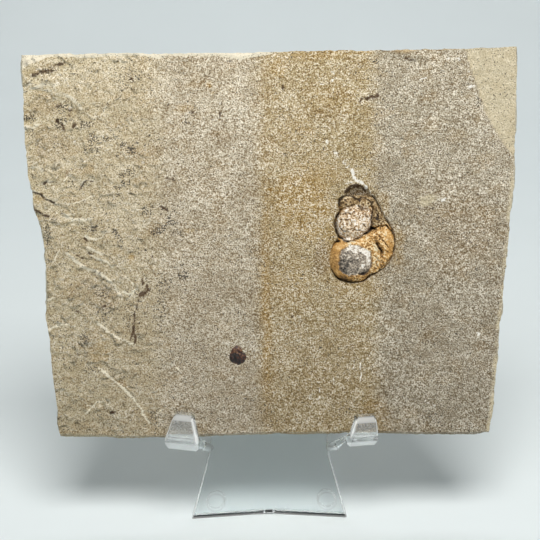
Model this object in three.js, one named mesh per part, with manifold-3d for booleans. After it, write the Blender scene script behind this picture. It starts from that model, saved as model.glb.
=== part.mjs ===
// A split limestone slab that holds a fossil snail and a fossil seed, standing on a small clear
// plastic easel. Millimetres, +Z up, +X along the slab's long side, -Y towards the viewer.
// The origin is on the surface that the easel stands on, in the middle of its front foot's underside.

import * as THREE from 'three';
import { mergeVertices } from 'three/addons/utils/BufferGeometryUtils.js';
import Module from 'manifold-3d';

// ---- Driving dimensions -------------------------------------------------------------------

const LEAN = THREE.MathUtils.degToRad(20);  // the easel's front sheet, and the slab, lean back by this
const CLEARANCE = 0.3;                      // gap left between pieces that touch

// Easel: one moulded sheet, bent over at the top, with two arms.
const SHEET = 2.2;                  // thickness
const FOOT_HALF = 25.4;             // half of each foot's width
const WAIST_HALF = 19.5;            // half of the sheet's width from the waist up
const WAIST_HEIGHT = 20;
const SHOULDER_HEIGHT = 62;         // above this the sheet narrows to its rounded top
const TOP_HALF = 11;
const REAR_FOOT = 62;               // from the front foot to the rear foot's heel
const REAR_LEAN = THREE.MathUtils.degToRad(14);
const TOP_BEND = 5;                 // outer radius of the fold at the top
const BOW = 0.115;                  // the sheet is bowed in plan: how far forward per mm sideways
const BOW_SOFTNESS = 3;             // radius of the bow's middle
const BOW_STRIPS = 16;
const SHOULDER_HALF = 15;           // half width where the rounding of the top begins
const SHOULDER_RISE = 16;           // from the shoulder up to there

// Arms: side view measured out from the sheet (r) and up along it (u).
const ARM = 2.4;                    // thickness
const NECK_TOP = 23.5;              // u of the neck's upper side, at the sheet
const NECK_LENGTH = 1.9;
const NECK_RISE_END = 4.8;          // r where the neck has risen to the rest
const LIP_CORNER = 2.2;             // inner radius between rest and lip
const LIP_CHAMFER = 3.0;            // height of the lip's thinned top
const LIP_EDGE = 1.2;               // thickness of its top edge
const ARM_ROOT = 4;                 // how far inside the sheet the side view starts

// Slab, in its own frame: x along it, y up it from its resting edge, z out from its back face.
const SLAB_THICKNESS = 9.3;
const SLAB_OFF_SHEET = 2.2;         // its back face, out from the middle of the easel's sheet
const SLAB_REST = 26.5;             // where y = 0 lies, up along the sheet
const COLUMNS = 50;
const ROWS = 38;
const FRONT_INSET = { top: 2.0, bottom: 1.3, side: 0.7 };
const BACK_INSET = { top: 0.8, bottom: 0.0, side: 0.8 };
const EDGE_ROUGHNESS = 0.35;
const FLAKED_CORNER_DEPTH = 1.2;

// Pocket and fossils.
const POCKET_FLOOR = 6.0;           // z of the snail's pocket floor
const SEED_FLOOR = 8.2;

// The slab's outline at its widest, corner to corner along each broken edge.
const LEFT_EDGE = [
  [-67.4, 0.8], [-68.6, 4.2], [-68.7, 9.8], [-70.1, 19], [-70.8, 30.6], [-71.9, 40.7],
  [-71.5, 45], [-71.5, 54.3], [-72.2, 62.8], [-73.3, 68.3], [-75.2, 74.5], [-76, 79.4],
  [-77.4, 85.3], [-77.8, 96.3], [-78.9, 110.3], [-79.3, 121.7], [-79.5, 124.9],
];
const RIGHT_EDGE = [
  [72, 1], [72.7, 6], [73.6, 16.3], [74.5, 25.4], [75.1, 31], [76.4, 42.3], [77.5, 53],
  [78.5, 64], [79.4, 73.8], [80.6, 81], [80.7, 89], [81.3, 103.4], [81.5, 120.3], [81.6, 125.4],
];
const BOTTOM_EDGE = [
  [-67.4, 0.8], [-54, 0.5], [-48.3, 0], [-35.3, 0.1], [-21, 0.3], [0.4, 0.9], [14.4, 0.8],
  [25, 1], [36.8, 1], [48, 0.4], [66.4, 0.3], [72, 1],
];
const TOP_EDGE = [[-79.5, 124.9], [-42.7, 124.9], [1.5, 124.2], [32.7, 124.6], [81.6, 125.4]];

// The ledge where the top layer has flaked off the upper right corner, from top to right edge.
const CORNER_LEDGE = [
  [65, 126], [66, 117.6], [67.9, 110.8], [71.1, 102.3], [75.9, 94.2], [84, 84],
];

// Thin flakes lost from the left side: each terrace's middle, half sizes and depth.
const TERRACES = [
  { at: [-72, 96], half: [13, 17], depth: 0.5 },
  { at: [-66, 60], half: [16, 12], depth: 0.45 },
  { at: [-60, 22], half: [14, 16], depth: 0.6 },
];

// Outline of the snail shell, starting at the base of its last whorl and going round to the left.
const SNAIL_OUTLINE = [
  [28.1, 49.8], [24.9, 49.8], [22.7, 50.9], [20.7, 53.2], [19.9, 57.7], [21, 61.5], [22.3, 63.5],
  [21.7, 66], [21.7, 69.5], [23.2, 72.6], [23.5, 75.4], [25.5, 77.7], [28.5, 78.2], [32, 77.6],
  [35, 75.4], [36.6, 72.5], [38.2, 69], [40.2, 66], [40.7, 62.7], [40.2, 59.9], [38.9, 57.5],
  [37, 54.3], [33.7, 52.2], [31.6, 50.8],
];
// The shell's last whorl, outer lip, spire whorl, top whorl and flank: middle, radii, and turn
// about z in degrees.
const WHORLS = [
  { at: [26.3, 56.8, 7.4], radii: [7, 7.8, 4.5], turn: 0 },
  { at: [34.6, 60.3, 7.2], radii: [6.4, 8.6, 3.2], turn: -18 },
  { at: [27.8, 69, 7.5], radii: [6.6, 6.2, 3.7], turn: 15 },
  { at: [27.6, 75, 7.3], radii: [4.6, 3.6, 2.6], turn: 0 },
  { at: [33.6, 72.3, 6.9], radii: [4.4, 6, 2.5], turn: 20 },
];
// The smooth hollow left in the rock above the shell.
const MOULD = { at: [29.8, 78.2, 10.2], radii: [5.2, 3.6, 3.0] };

const SEED = { at: [-9.6, 27, 8.9], radii: [2.5, 3.3, 1.1] };
const SEED_LOBE = { at: [-8.1, 25.6, 8.9], radii: [1.5, 1.6, 0.8] };

const BEYOND = 150;                 // cutting outlines are pulled past every piece by this

// ---- Solids ---------------------------------------------------------------------------------

const wasm = await Module();
wasm.setup();

// A closed geometry as a solid for joins and cuts.
function solid(geometry) {
  const bare = geometry.index ? geometry.toNonIndexed() : geometry.clone();
  bare.deleteAttribute('normal');
  bare.deleteAttribute('uv');
  const merged = mergeVertices(bare, 1e-4);
  return new wasm.Manifold(new wasm.Mesh({
    numProp: 3,
    vertProperties: new Float32Array(merged.attributes.position.array),
    triVerts: new Uint32Array(merged.index.array),
  }));
}

// A solid as a geometry.
function geometryOf(body) {
  const found = body.getMesh();
  const geometry = new THREE.BufferGeometry();
  geometry.setAttribute('position', new THREE.BufferAttribute(found.vertProperties, 3));
  geometry.setIndex(new THREE.BufferAttribute(found.triVerts, 1));
  return geometry;
}

function outlineOf(points) {
  return new THREE.Shape(points.map(([x, y]) => new THREE.Vector2(x, y)));
}

// An outline pulled straight from z = from to z = to.
function prism(shape, from, to, options = {}) {
  const geometry = new THREE.ExtrudeGeometry(shape, {
    depth: to - from, bevelEnabled: false, curveSegments: 8, ...options,
  });
  return geometry.translate(0, 0, from);
}

function ellipsoid({ at, radii, turn = 0 }, segments = 20, rings = 12) {
  return new THREE.SphereGeometry(1, segments, rings)
    .scale(...radii)
    .rotateZ(THREE.MathUtils.degToRad(turn))
    .translate(...at);
}

// ---- Easel ------------------------------------------------------------------------------------

function bowAt(x) {
  return BOW * (Math.hypot(x, BOW_SOFTNESS) - BOW_SOFTNESS);
}

// The sheet in side view (y, z): up the front, over the fold and down the rear leg.
function sheetProfile() {
  const sin = Math.sin(LEAN), cos = Math.cos(LEAN);
  const sinRear = Math.sin(REAR_LEAN), cosRear = Math.cos(REAR_LEAN);
  // The fold's centre is TOP_BEND inside both outer faces.
  const foldZ = (REAR_FOOT * cosRear - TOP_BEND - TOP_BEND * cosRear / cos)
    / (cosRear * sin / cos + sinRear);
  const foldY = (TOP_BEND + foldZ * sin) / cos;
  const shape = new THREE.Shape();
  shape.moveTo(0, 0);
  shape.lineTo(foldY - TOP_BEND * cos, foldZ + TOP_BEND * sin);
  shape.absarc(foldY, foldZ, TOP_BEND, Math.PI - LEAN, REAR_LEAN, true);
  shape.lineTo(REAR_FOOT, 0);
  shape.lineTo(REAR_FOOT - SHEET / cosRear, 0);
  shape.absarc(foldY, foldZ, TOP_BEND - SHEET, REAR_LEAN, Math.PI - LEAN, false);
  shape.lineTo(SHEET / cos, 0);
  return shape;
}

// Seen from the front (x, z): flared feet, straight waist, rounded top.
function sheetOutline() {
  const rightSide = [
    [FOOT_HALF, -1], [FOOT_HALF, 0], [WAIST_HALF, WAIST_HEIGHT], [WAIST_HALF, SHOULDER_HEIGHT],
    [SHOULDER_HALF, SHOULDER_HEIGHT + SHOULDER_RISE], [TOP_HALF, BEYOND],
  ];
  const leftSide = rightSide.map(([x, z]) => [-x, z]).reverse();
  return outlineOf([...rightSide, ...leftSide]);
}

function easelSheet() {
  const reach = FOOT_HALF + 2;
  const folded = prism(sheetProfile(), -reach, reach, { steps: BOW_STRIPS });
  const position = folded.attributes.position;
  for (let i = 0; i < position.count; i += 1) {
    const y = position.getX(i), z = position.getY(i), x = position.getZ(i);
    position.setXYZ(i, x, y - bowAt(x), z);
  }
  const width = prism(sheetOutline(), -BEYOND, BEYOND).rotateX(Math.PI / 2);
  return geometryOf(solid(folded).intersect(solid(width)));
}

// One arm with its lip: three outlines, each pulled through the other two. In its own frame w runs
// sideways along the lip, u up the sheet and r out from the sheet; splay then turns it about u.
function arm({ foot, splay, reach, rest, lip, plan }) {
  const inner = reach - ARM;
  const fillet = inner - LIP_CORNER;
  const lipTop = Math.max(...lip.map(([, u]) => u));
  const side = new THREE.Shape();
  side.moveTo(-ARM_ROOT, NECK_TOP);
  side.lineTo(NECK_LENGTH, NECK_TOP);
  side.lineTo(NECK_RISE_END, rest);
  side.absarc(fillet, rest + LIP_CORNER, LIP_CORNER, -Math.PI / 2, 0, false);
  side.lineTo(inner, lipTop - LIP_CHAMFER);
  side.lineTo(reach - LIP_EDGE, lipTop);
  side.lineTo(reach, lipTop);
  side.absarc(fillet, rest + LIP_CORNER, LIP_CORNER + ARM, 0, -Math.PI / 2, true);
  side.lineTo(NECK_RISE_END + ARM / 3, rest - ARM);
  side.lineTo(NECK_LENGTH + ARM / 3, NECK_TOP - ARM);
  side.lineTo(-ARM_ROOT, NECK_TOP - ARM);

  const fromSide = prism(side, -BEYOND, BEYOND).rotateY(-Math.PI / 2);
  const fromFront = prism(outlineOf(lip), -BEYOND, BEYOND);
  const fromAbove = prism(outlineOf(plan), -BEYOND, BEYOND).rotateX(Math.PI / 2);
  return geometryOf(solid(fromSide).intersect(solid(fromFront)).intersect(solid(fromAbove)))
    .rotateY(splay)
    .translate(foot[0], 0, foot[1])
    .rotateX(Math.PI / 2 - LEAN);
}

const LEFT_ARM = {
  foot: [-23, -0.3], splay: THREE.MathUtils.degToRad(-18), reach: 16.9, rest: 26.2,
  lip: [
    [-14, 18], [14, 18], [14, 23.5], [6.3, 23.5], [5.1, 34.5], [-2.2, 35.3], [-6.3, 23.5],
    [-14, 23.5],
  ],
  plan: [
    [7.6, -1.5], [7.2, 3], [6.3, 9], [6.3, 20], [-6.3, 20], [-6.3, 9], [-3, 5], [0.8, 3], [2, 0.3],
  ],
};
const RIGHT_ARM = {
  foot: [26.8, 0], splay: THREE.MathUtils.degToRad(14), reach: 16.2, rest: 27.1,
  lip: [[-14, 18], [14, 18], [14, 24], [5.1, 24], [3.9, 34.5], [-2.7, 33.9], [-5.2, 24], [-14, 24]],
  plan: [
    [-6.2, -1], [-2.5, 4], [5.1, 9], [5.1, 20], [-5.2, 20], [-5.2, 9], [-8.5, 3.5], [-11.3, -2],
  ],
};

function easel() {
  const whole = solid(easelSheet()).add(solid(arm(LEFT_ARM))).add(solid(arm(RIGHT_ARM)));
  return geometryOf(whole);
}

// ---- Slab ---------------------------------------------------------------------------------------

// Smooth noise between -1 and 1 that is the same on every run.
function noise(x, y) {
  const i = Math.floor(x), j = Math.floor(y);
  const u = x - i, v = y - j;
  const fade = (t) => t * t * (3 - 2 * t);
  const at = (a, b) => {
    const wave = Math.sin(a * 127.1 + b * 311.7) * 43758.5453;
    return 2 * (wave - Math.floor(wave)) - 1;
  };
  const low = THREE.MathUtils.lerp(at(i, j), at(i + 1, j), fade(u));
  const high = THREE.MathUtils.lerp(at(i, j + 1), at(i + 1, j + 1), fade(u));
  return THREE.MathUtils.lerp(low, high, fade(v));
}

// A broken line of [along, across] points as a function of the distance along it.
function follow(points) {
  return (along) => {
    let k = 1;
    while (k < points.length - 1 && points[k][0] < along) k += 1;
    const [a, p] = points[k - 1], [b, q] = points[k];
    return THREE.MathUtils.mapLinear(THREE.MathUtils.clamp(along, a, b), a, b, p, q);
  };
}

const swapped = (points) => points.map(([x, y]) => [y, x]);
const leftAt = follow(swapped(LEFT_EDGE));
const rightAt = follow(swapped(RIGHT_EDGE));
const bottomAt = follow(BOTTOM_EDGE);
const topAt = follow(TOP_EDGE);
const ledgeAt = follow(CORNER_LEDGE);

// A point of the slab's face, a and b from 0 to 1 across and up, with its edges drawn in by inset.
function facePoint(a, b, inset, roughness) {
  const corner = (edge, sideways, up) => [edge[0] + sideways * inset.side, edge[1] + up];
  const lowLeft = corner(LEFT_EDGE[0], 1, inset.bottom);
  const highLeft = corner(LEFT_EDGE.at(-1), 1, -inset.top);
  const lowRight = corner(RIGHT_EDGE[0], -1, inset.bottom);
  const highRight = corner(RIGHT_EDGE.at(-1), -1, -inset.top);
  const { lerp } = THREE.MathUtils;
  const rough = (along, side) => roughness * (noise(along * 0.31, side) + 0.6 * noise(along, side + 9));

  const lowX = lerp(lowLeft[0], lowRight[0], a), highX = lerp(highLeft[0], highRight[0], a);
  const low = [lowX, bottomAt(lowX) + inset.bottom + Math.abs(rough(lowX, 1.5))];
  const high = [highX, topAt(highX) - inset.top + rough(highX, 3.5)];
  const leftY = lerp(lowLeft[1], highLeft[1], b), rightY = lerp(lowRight[1], highRight[1], b);
  const left = [leftAt(leftY) + inset.side + rough(leftY, 5.5), leftY];
  const right = [rightAt(rightY) - inset.side + rough(rightY, 7.5), rightY];

  return [0, 1].map((k) => (1 - b) * low[k] + b * high[k] + (1 - a) * left[k] + a * right[k]
    - (1 - a) * (1 - b) * lowLeft[k] - a * (1 - b) * lowRight[k]
    - (1 - a) * b * highLeft[k] - a * b * highRight[k]);
}

// How far the front face lies above or below its mean plane.
function relief(x, y) {
  let height = 0.12 * noise(x / 9, y / 9) + 0.07 * noise(x / 3.5, y / 3.5);
  const pastLedge = y - ledgeAt(x);
  if (x > CORNER_LEDGE[0][0]) {
    height -= FLAKED_CORNER_DEPTH * THREE.MathUtils.smoothstep(pastLedge, 0, 1.5);
  }
  for (const { at, half, depth } of TERRACES) {
    const reach = Math.hypot((x - at[0]) / half[0], (y - at[1]) / half[1]) + 0.2 * noise(x / 6, y / 6);
    height -= depth * (1 - THREE.MathUtils.smoothstep(reach, 0.85, 1.05));
  }
  return height;
}

// Rings from the front face's rim back to the back face: depth as a share, and how much of the
// front's or the back's inset each has.
const RINGS = [
  { z: 1, front: 1, back: 0, rough: 0.4 },
  { z: 0.72, front: 0.3, back: 0, rough: 1 },
  { z: 0.4, front: 0, back: 0, rough: 1 },
  { z: 0, front: 0, back: 1, rough: 0.6 },
];

function slabBlock() {
  const points = [], faces = [];
  const loop = [];
  for (let i = 0; i < COLUMNS; i += 1) loop.push([i, 0]);
  for (let j = 0; j < ROWS; j += 1) loop.push([COLUMNS, j]);
  for (let i = COLUMNS; i > 0; i -= 1) loop.push([i, ROWS]);
  for (let j = ROWS; j > 0; j -= 1) loop.push([0, j]);

  const insetOf = ({ front, back }) => Object.fromEntries(['top', 'bottom', 'side'].map(
    (side) => [side, front * FRONT_INSET[side] + back * BACK_INSET[side]],
  ));
  const front = (i, j) => j * (COLUMNS + 1) + i;
  for (let j = 0; j <= ROWS; j += 1) {
    for (let i = 0; i <= COLUMNS; i += 1) {
      const [x, y] = facePoint(i / COLUMNS, j / ROWS, insetOf(RINGS[0]), EDGE_ROUGHNESS * RINGS[0].rough);
      points.push(x, y, SLAB_THICKNESS + relief(x, y));
    }
  }
  for (let j = 0; j < ROWS; j += 1) {
    for (let i = 0; i < COLUMNS; i += 1) {
      const [a, b, c, d] = [front(i, j), front(i + 1, j), front(i + 1, j + 1), front(i, j + 1)];
      faces.push(a, b, c, a, c, d);
    }
  }
  let above = loop.map(([i, j]) => front(i, j));
  for (const ring of RINGS.slice(1)) {
    const start = points.length / 3;
    for (const [i, j] of loop) {
      const [x, y] = facePoint(i / COLUMNS, j / ROWS, insetOf(ring), EDGE_ROUGHNESS * ring.rough);
      points.push(x, y, SLAB_THICKNESS * ring.z);
    }
    const below = loop.map((_, k) => start + k);
    loop.forEach((_, k) => {
      const next = (k + 1) % loop.length;
      faces.push(above[k], below[k], below[next], above[k], below[next], above[next]);
    });
    above = below;
  }
  const rim = above.map((k) => new THREE.Vector2(points[3 * k], points[3 * k + 1]));
  for (const [a, b, c] of THREE.ShapeUtils.triangulateShape(rim, [])) {
    faces.push(above[c], above[b], above[a]);
  }
  const geometry = new THREE.BufferGeometry();
  geometry.setAttribute('position', new THREE.Float32BufferAttribute(points, 3));
  geometry.setIndex(faces);
  return geometry;
}

// An outline moved outwards by a distance.
function widened(points, by) {
  const clockwise = THREE.ShapeUtils.isClockWise(points.map(([x, y]) => new THREE.Vector2(x, y)));
  const turn = clockwise ? 1 : -1;
  return points.map(([x, y], k) => {
    const [px, py] = points.at(k - 1), [nx, ny] = points[(k + 1) % points.length];
    const length = Math.hypot(nx - px, ny - py);
    return [x - turn * by * (ny - py) / length, y + turn * by * (nx - px) / length];
  });
}

function slab() {
  const pocket = prism(outlineOf(widened(SNAIL_OUTLINE, CLEARANCE)), POCKET_FLOOR, BEYOND);
  const seat = prism(outlineOf(widened(seedOutline(), CLEARANCE)), SEED_FLOOR, BEYOND);
  return geometryOf(solid(slabBlock())
    .subtract(solid(pocket))
    .subtract(solid(ellipsoid(MOULD)))
    .subtract(solid(seat)));
}

// ---- Fossils ----------------------------------------------------------------------------------

// The shell: rounded whorls grown together, cut off flat where the rock holds them.
function snail() {
  const whorls = WHORLS.map((whorl) => solid(ellipsoid(whorl)));
  const body = whorls.slice(1).reduce((sum, whorl) => sum.add(whorl), whorls[0]);
  const within = prism(outlineOf(SNAIL_OUTLINE), POCKET_FLOOR + CLEARANCE, BEYOND);
  return geometryOf(body.intersect(solid(within)));
}

function seedOutline() {
  const points = [];
  for (let k = 0; k < 16; k += 1) {
    const angle = 2 * Math.PI * k / 16;
    const lobe = 0.5 * Math.max(0, Math.cos(angle + 0.5)) ** 3;
    points.push([
      SEED.at[0] + (SEED.radii[0] + lobe) * Math.cos(angle),
      SEED.at[1] + (SEED.radii[1] + lobe) * Math.sin(angle),
    ]);
  }
  return points;
}

function seed() {
  const within = prism(outlineOf(seedOutline()), SEED_FLOOR + CLEARANCE, BEYOND);
  const body = solid(ellipsoid(SEED, 18, 10)).add(solid(ellipsoid(SEED_LOBE, 14, 8)));
  return geometryOf(body.intersect(solid(within)));
}

// ---- The object ---------------------------------------------------------------------------------

function piece(name, geometry, colour, roughness, extra = {}) {
  const mesh = new THREE.Mesh(geometry, new THREE.MeshStandardMaterial({
    color: colour, roughness, metalness: 0, ...extra,
  }));
  mesh.name = name;
  return mesh;
}

// What is drawn in the slab's frame leans back with it and rests on the easel's arms.
const leaning = new THREE.Group();
leaning.rotation.x = Math.PI / 2 - LEAN;
leaning.add(
  piece('limestone_slab', slab(), 0xa89a82, 0.95),
  piece('snail_fossil', snail(), 0xb98d55, 0.7),
  piece('seed_fossil', seed(), 0x45302c, 0.6),
);
for (const child of leaning.children) child.position.set(0, SLAB_REST, SLAB_OFF_SHEET);

const object = new THREE.Group();
object.add(leaning);
object.add(piece('display_easel', easel(), 0xdfe6e6, 0.08, { transparent: true, opacity: 0.35 }));
object.position.y = -SHEET / Math.cos(LEAN) / 2;

export default object;
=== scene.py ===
"""A fossil snail in a split limestone slab, standing on a small clear plastic easel.

Sizes are in millimetres and are turned to metres as each mesh is made. x runs along the slab,
y away from the viewer and z up.
"""

import math

import bpy
import numpy as np
from mathutils import Matrix, Vector


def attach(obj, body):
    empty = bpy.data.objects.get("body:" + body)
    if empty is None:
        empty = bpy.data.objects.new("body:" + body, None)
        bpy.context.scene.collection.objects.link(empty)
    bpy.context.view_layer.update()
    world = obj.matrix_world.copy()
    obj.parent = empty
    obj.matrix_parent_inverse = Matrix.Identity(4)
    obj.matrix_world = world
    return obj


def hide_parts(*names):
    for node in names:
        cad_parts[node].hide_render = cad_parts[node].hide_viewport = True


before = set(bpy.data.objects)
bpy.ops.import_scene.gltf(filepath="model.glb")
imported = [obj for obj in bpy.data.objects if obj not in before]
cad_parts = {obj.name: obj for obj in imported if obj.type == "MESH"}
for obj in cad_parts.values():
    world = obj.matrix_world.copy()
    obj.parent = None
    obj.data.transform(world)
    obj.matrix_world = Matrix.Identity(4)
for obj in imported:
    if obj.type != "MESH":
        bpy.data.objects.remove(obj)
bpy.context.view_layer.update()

# ---- Ground, light and camera ---------------------------------------------------------------
# A sheet of pale blue-grey card lies flat and curves up before and behind the object, so it has no
# corner. One broad soft lamp hangs above and a little in front, and the room adds a pale fill.

MM = 0.001


def linear(colour):
    """An sRGB hex colour as linear red, green, blue and alpha."""
    parts = [int(colour[k : k + 2], 16) / 255 for k in (1, 3, 5)]
    curved = [p / 12.92 if p <= 0.04045 else ((p + 0.055) / 1.055) ** 2.4 for p in parts]
    return (*curved, 1.0)


def connect(material, made, inputs):
    """Gives each input of a node its value, or links it to the output of another node."""
    for name, value in inputs.items():
        if isinstance(value, bpy.types.NodeSocket):
            material.node_tree.links.new(value, made.inputs[name])
        else:
            made.inputs[name].default_value = value


def node(material, kind, inputs, output=0, stops=(), **settings):
    """Adds a node with its settings, colour stops and inputs, and returns one of its outputs."""
    made = material.node_tree.nodes.new("ShaderNode" + kind)
    for name, value in settings.items():
        setattr(made, name, value)
    if stops:
        elements = made.color_ramp.elements
        elements[0].position, elements[-1].position = stops[0][0], stops[-1][0]
        for place, _ in stops[1:-1]:
            elements.new(place)
        for element, (_, colour) in zip(elements, stops):
            element.color = linear(colour)
    connect(material, made, inputs)
    return made.outputs[output]


def new_material(name):
    """An empty node material, its Principled shader and the place on its piece in millimetres."""
    made = bpy.data.materials.new(name)
    made.use_nodes = True
    metres = node(made, "TexCoord", {}, "Object")
    millimetres = node(made, "VectorMath", {0: metres, "Scale": 1 / MM}, operation="SCALE")
    return made, made.node_tree.nodes["Principled BSDF"], millimetres


def mesh_piece(name, points, faces, material, sharp_from=180.0):
    """An object from points in millimetres, smooth except at edges sharper than an angle in degrees."""
    mesh = bpy.data.meshes.new(name)
    mesh.from_pydata((np.asarray(points, float) * MM).tolist(), [], faces)
    mesh.validate()
    mesh.shade_smooth()
    if sharp_from < 180:
        mesh.set_sharp_from_angle(angle=math.radians(sharp_from))
    mesh.materials.append(material)
    made = bpy.data.objects.new(name, mesh)
    bpy.context.scene.collection.objects.link(made)
    return made


def strips(rows, columns, first=0, closed=False):
    """Four-sided faces between the points of neighbouring rows."""
    faces = []
    for low in range(first, first + (rows - 1) * columns, columns):
        for i in range(columns if closed else columns - 1):
            k = (i + 1) % columns
            faces.append((low + i, low + k, low + columns + k, low + columns + i))
    return faces


# Matte card: no shine, with a faint unevenness of tone about 11 cm across.
card, card_shader, card_mm = new_material("matte_card")
card_cloud = node(card, "TexNoise", {"Vector": card_mm, "Scale": 9 * MM, "Detail": 3.0})
card_tone = node(card, "ValToRGB", {"Fac": card_cloud}, stops=((0.3, "#dbe2e3"), (0.7, "#dee5e6")))
connect(card, card_shader, {"Base Color": card_tone, "Roughness": 0.85, "Specular IOR Level": 0.15})

SWEEP_FRONT, SWEEP_BACK = -1300.0, 420.0  # y where the card begins to curve up
SWEEP_RADIUS = 420.0
SWEEP_TOP = 1800.0
SWEEP_HALF = 1600.0
SWEEP_COLUMNS, SWEEP_ROWS = 9, 40
quarter_turn = np.linspace(0, math.pi / 2, SWEEP_ROWS)
run = SWEEP_RADIUS * np.sin(quarter_turn)
rise = SWEEP_RADIUS * (1 - np.cos(quarter_turn))
sweep_line = [(SWEEP_FRONT - SWEEP_RADIUS, SWEEP_TOP)]
sweep_line += zip(SWEEP_FRONT - run[:0:-1], rise[:0:-1])
sweep_line += [(y, 0.0) for y in np.linspace(SWEEP_FRONT, SWEEP_BACK, SWEEP_ROWS)]
sweep_line += zip(SWEEP_BACK + run[1:], rise[1:])
sweep_line.append((SWEEP_BACK + SWEEP_RADIUS, SWEEP_TOP))
sweep_x = np.linspace(-SWEEP_HALF, SWEEP_HALF, SWEEP_COLUMNS)
sweep_points = [(x, y, z) for y, z in sweep_line for x in sweep_x]
sweep = mesh_piece("card_sweep", sweep_points, strips(len(sweep_line), SWEEP_COLUMNS), card)

world = bpy.data.worlds.new("pale_room")
world.use_nodes = True
room = world.node_tree.nodes["Background"]
room.inputs["Color"].default_value = linear("#eef3f6")
room.inputs["Strength"].default_value = 0.12
bpy.context.scene.world = world
bpy.context.scene.view_settings.view_transform = "Standard"
bpy.context.scene.cycles.blur_glossy = 0.0  # light reaches the card sharply through clear plastic


def lamp(name, place, aim, size, power, colour):
    """A soft oblong lamp at a place, turned to face a point."""
    light = bpy.data.lights.new(name, "AREA")
    light.shape = "RECTANGLE"
    light.size = size[0] * MM
    light.size_y = size[1] * MM
    light.energy = power
    light.color = linear(colour)[:3]
    made = bpy.data.objects.new(name, light)
    turned = (Vector(place) - Vector(aim)).to_track_quat("Z", "Y").to_matrix().to_4x4()
    made.matrix_world = Matrix.Translation(Vector(place) * MM) @ turned
    bpy.context.scene.collection.objects.link(made)


lamp("overhead_softbox", (64, -332, 796), (0, 20, 60), (560, 374), 6.95, "#fffdfa")
lamp("backdrop_light", (0, 760, 900), (0, 650, 0), (1200, 300), 4.6, "#fbfdff")

# The camera looks 20 degrees down, square to the leaning slab, with a slight roll.
CAMERA_PLACE = (0.9007, -349.507, 212.475)
CAMERA_DOWN = math.radians(20)
CAMERA_ROLL = math.radians(0.5)
camera_data = bpy.data.cameras.new("camera")
camera_data.sensor_width = 36.0
camera_data.lens = 80.8
camera_data.clip_start = 0.01
camera_data.clip_end = 20.0
camera = bpy.data.objects.new("camera", camera_data)
bpy.context.scene.collection.objects.link(camera)
camera.matrix_world = (
    Matrix.Translation(Vector(CAMERA_PLACE) * MM)
    @ Matrix.Rotation(math.pi / 2 - CAMERA_DOWN, 4, "X")
    @ Matrix.Rotation(-CAMERA_ROLL, 4, "Z")
)
bpy.context.scene.camera = camera

# ---- Display easel -----------------------------------------------------------------------------
# One moulding of clear polystyrene: a front sheet that bends over at the top into the rear leg,
# bowed a little in plan, with two arms that grow from the front sheet's waist and end in lips.

LEAN = math.radians(20)
REAR_LEAN = math.radians(14)
SHEET = 2.2
REAR_FOOT = 62.0
TOP_BEND = 5.0
BOW = 0.115
BOW_SOFTNESS = 3.0
SHEET_SHIFT = -SHEET / math.cos(LEAN) / 2  # puts the front foot's middle at y = 0
HALF_WIDTHS = ((0, 20, 62, 78, 95), (25.4, 19.5, 19.5, 15.0, 13.9))  # at these heights
SHEET_ROUNDING = 0.5
FOOT_ARCH = 0.45  # how far the middle of the front foot is cut up
FOOT_ARCH_HALF = 2.3
PIN_MARKS = ((-17.6, 4.8), (18.9, 5.1))  # moulding pins' rings: x, and distance up the sheet
PIN_RADIUS = 2.85
PIN_LINE = 0.25
PIN_RELIEF = 0.09
PIN_ZONE = 0.11  # the share of the front sheet that holds the rings, drawn more finely
SHEET_STEPS = {"zone": 34, "fold": 22, "rear": 30}  # points along its side view
EASEL_SHARP = 38  # degrees


def bow(x):
    """How far forward the bowed sheet lies at x."""
    return BOW * (np.hypot(x, BOW_SOFTNESS) - BOW_SOFTNESS)


def pin_rings(x, z):
    """1 along the rings that the moulding pins left on the front sheet, and 0 away from them."""
    gaps = [np.hypot(x - at, z / math.cos(LEAN) - up) - PIN_RADIUS for at, up in PIN_MARKS]
    return sum(np.exp(-((gap / PIN_LINE) ** 2)) for gap in gaps)


fold_drop = REAR_FOOT * math.cos(REAR_LEAN) - TOP_BEND * (1 + math.cos(REAR_LEAN) / math.cos(LEAN))
fold_z = fold_drop / (math.cos(REAR_LEAN) * math.tan(LEAN) + math.sin(REAR_LEAN))
fold_y = (TOP_BEND + fold_z * math.sin(LEAN)) / math.cos(LEAN)


def sheet_side(depth):
    """The sheet's side view at a depth below its outer face: points of (y, z)."""
    radius = TOP_BEND - depth
    zone = np.linspace(0, PIN_ZONE, SHEET_STEPS["zone"])
    climb = np.concatenate([zone, np.linspace(PIN_ZONE, 1, SHEET_STEPS["zone"])[1:]])
    start = np.array([depth / math.cos(LEAN), 0.0])
    end = np.array([fold_y - radius * math.cos(LEAN), fold_z + radius * math.sin(LEAN)])
    front = start + climb[:, None] * (end - start)
    turns = np.linspace(math.pi - LEAN, REAR_LEAN, SHEET_STEPS["fold"])[1:]
    fold = np.stack([fold_y + radius * np.cos(turns), fold_z + radius * np.sin(turns)], 1)
    heel = np.array([REAR_FOOT - depth / math.cos(REAR_LEAN), 0.0])
    descent = np.linspace(0, 1, SHEET_STEPS["rear"])[1:]
    rear = fold[-1] + descent[:, None] * (heel - fold[-1])
    return np.concatenate([front, fold, rear])


def smooth(value, low, high):
    """0 below low, 1 above high, and an even S between."""
    t = np.clip((value - low) / (high - low), 0, 1)
    return t * t * (3 - 2 * t)


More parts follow.
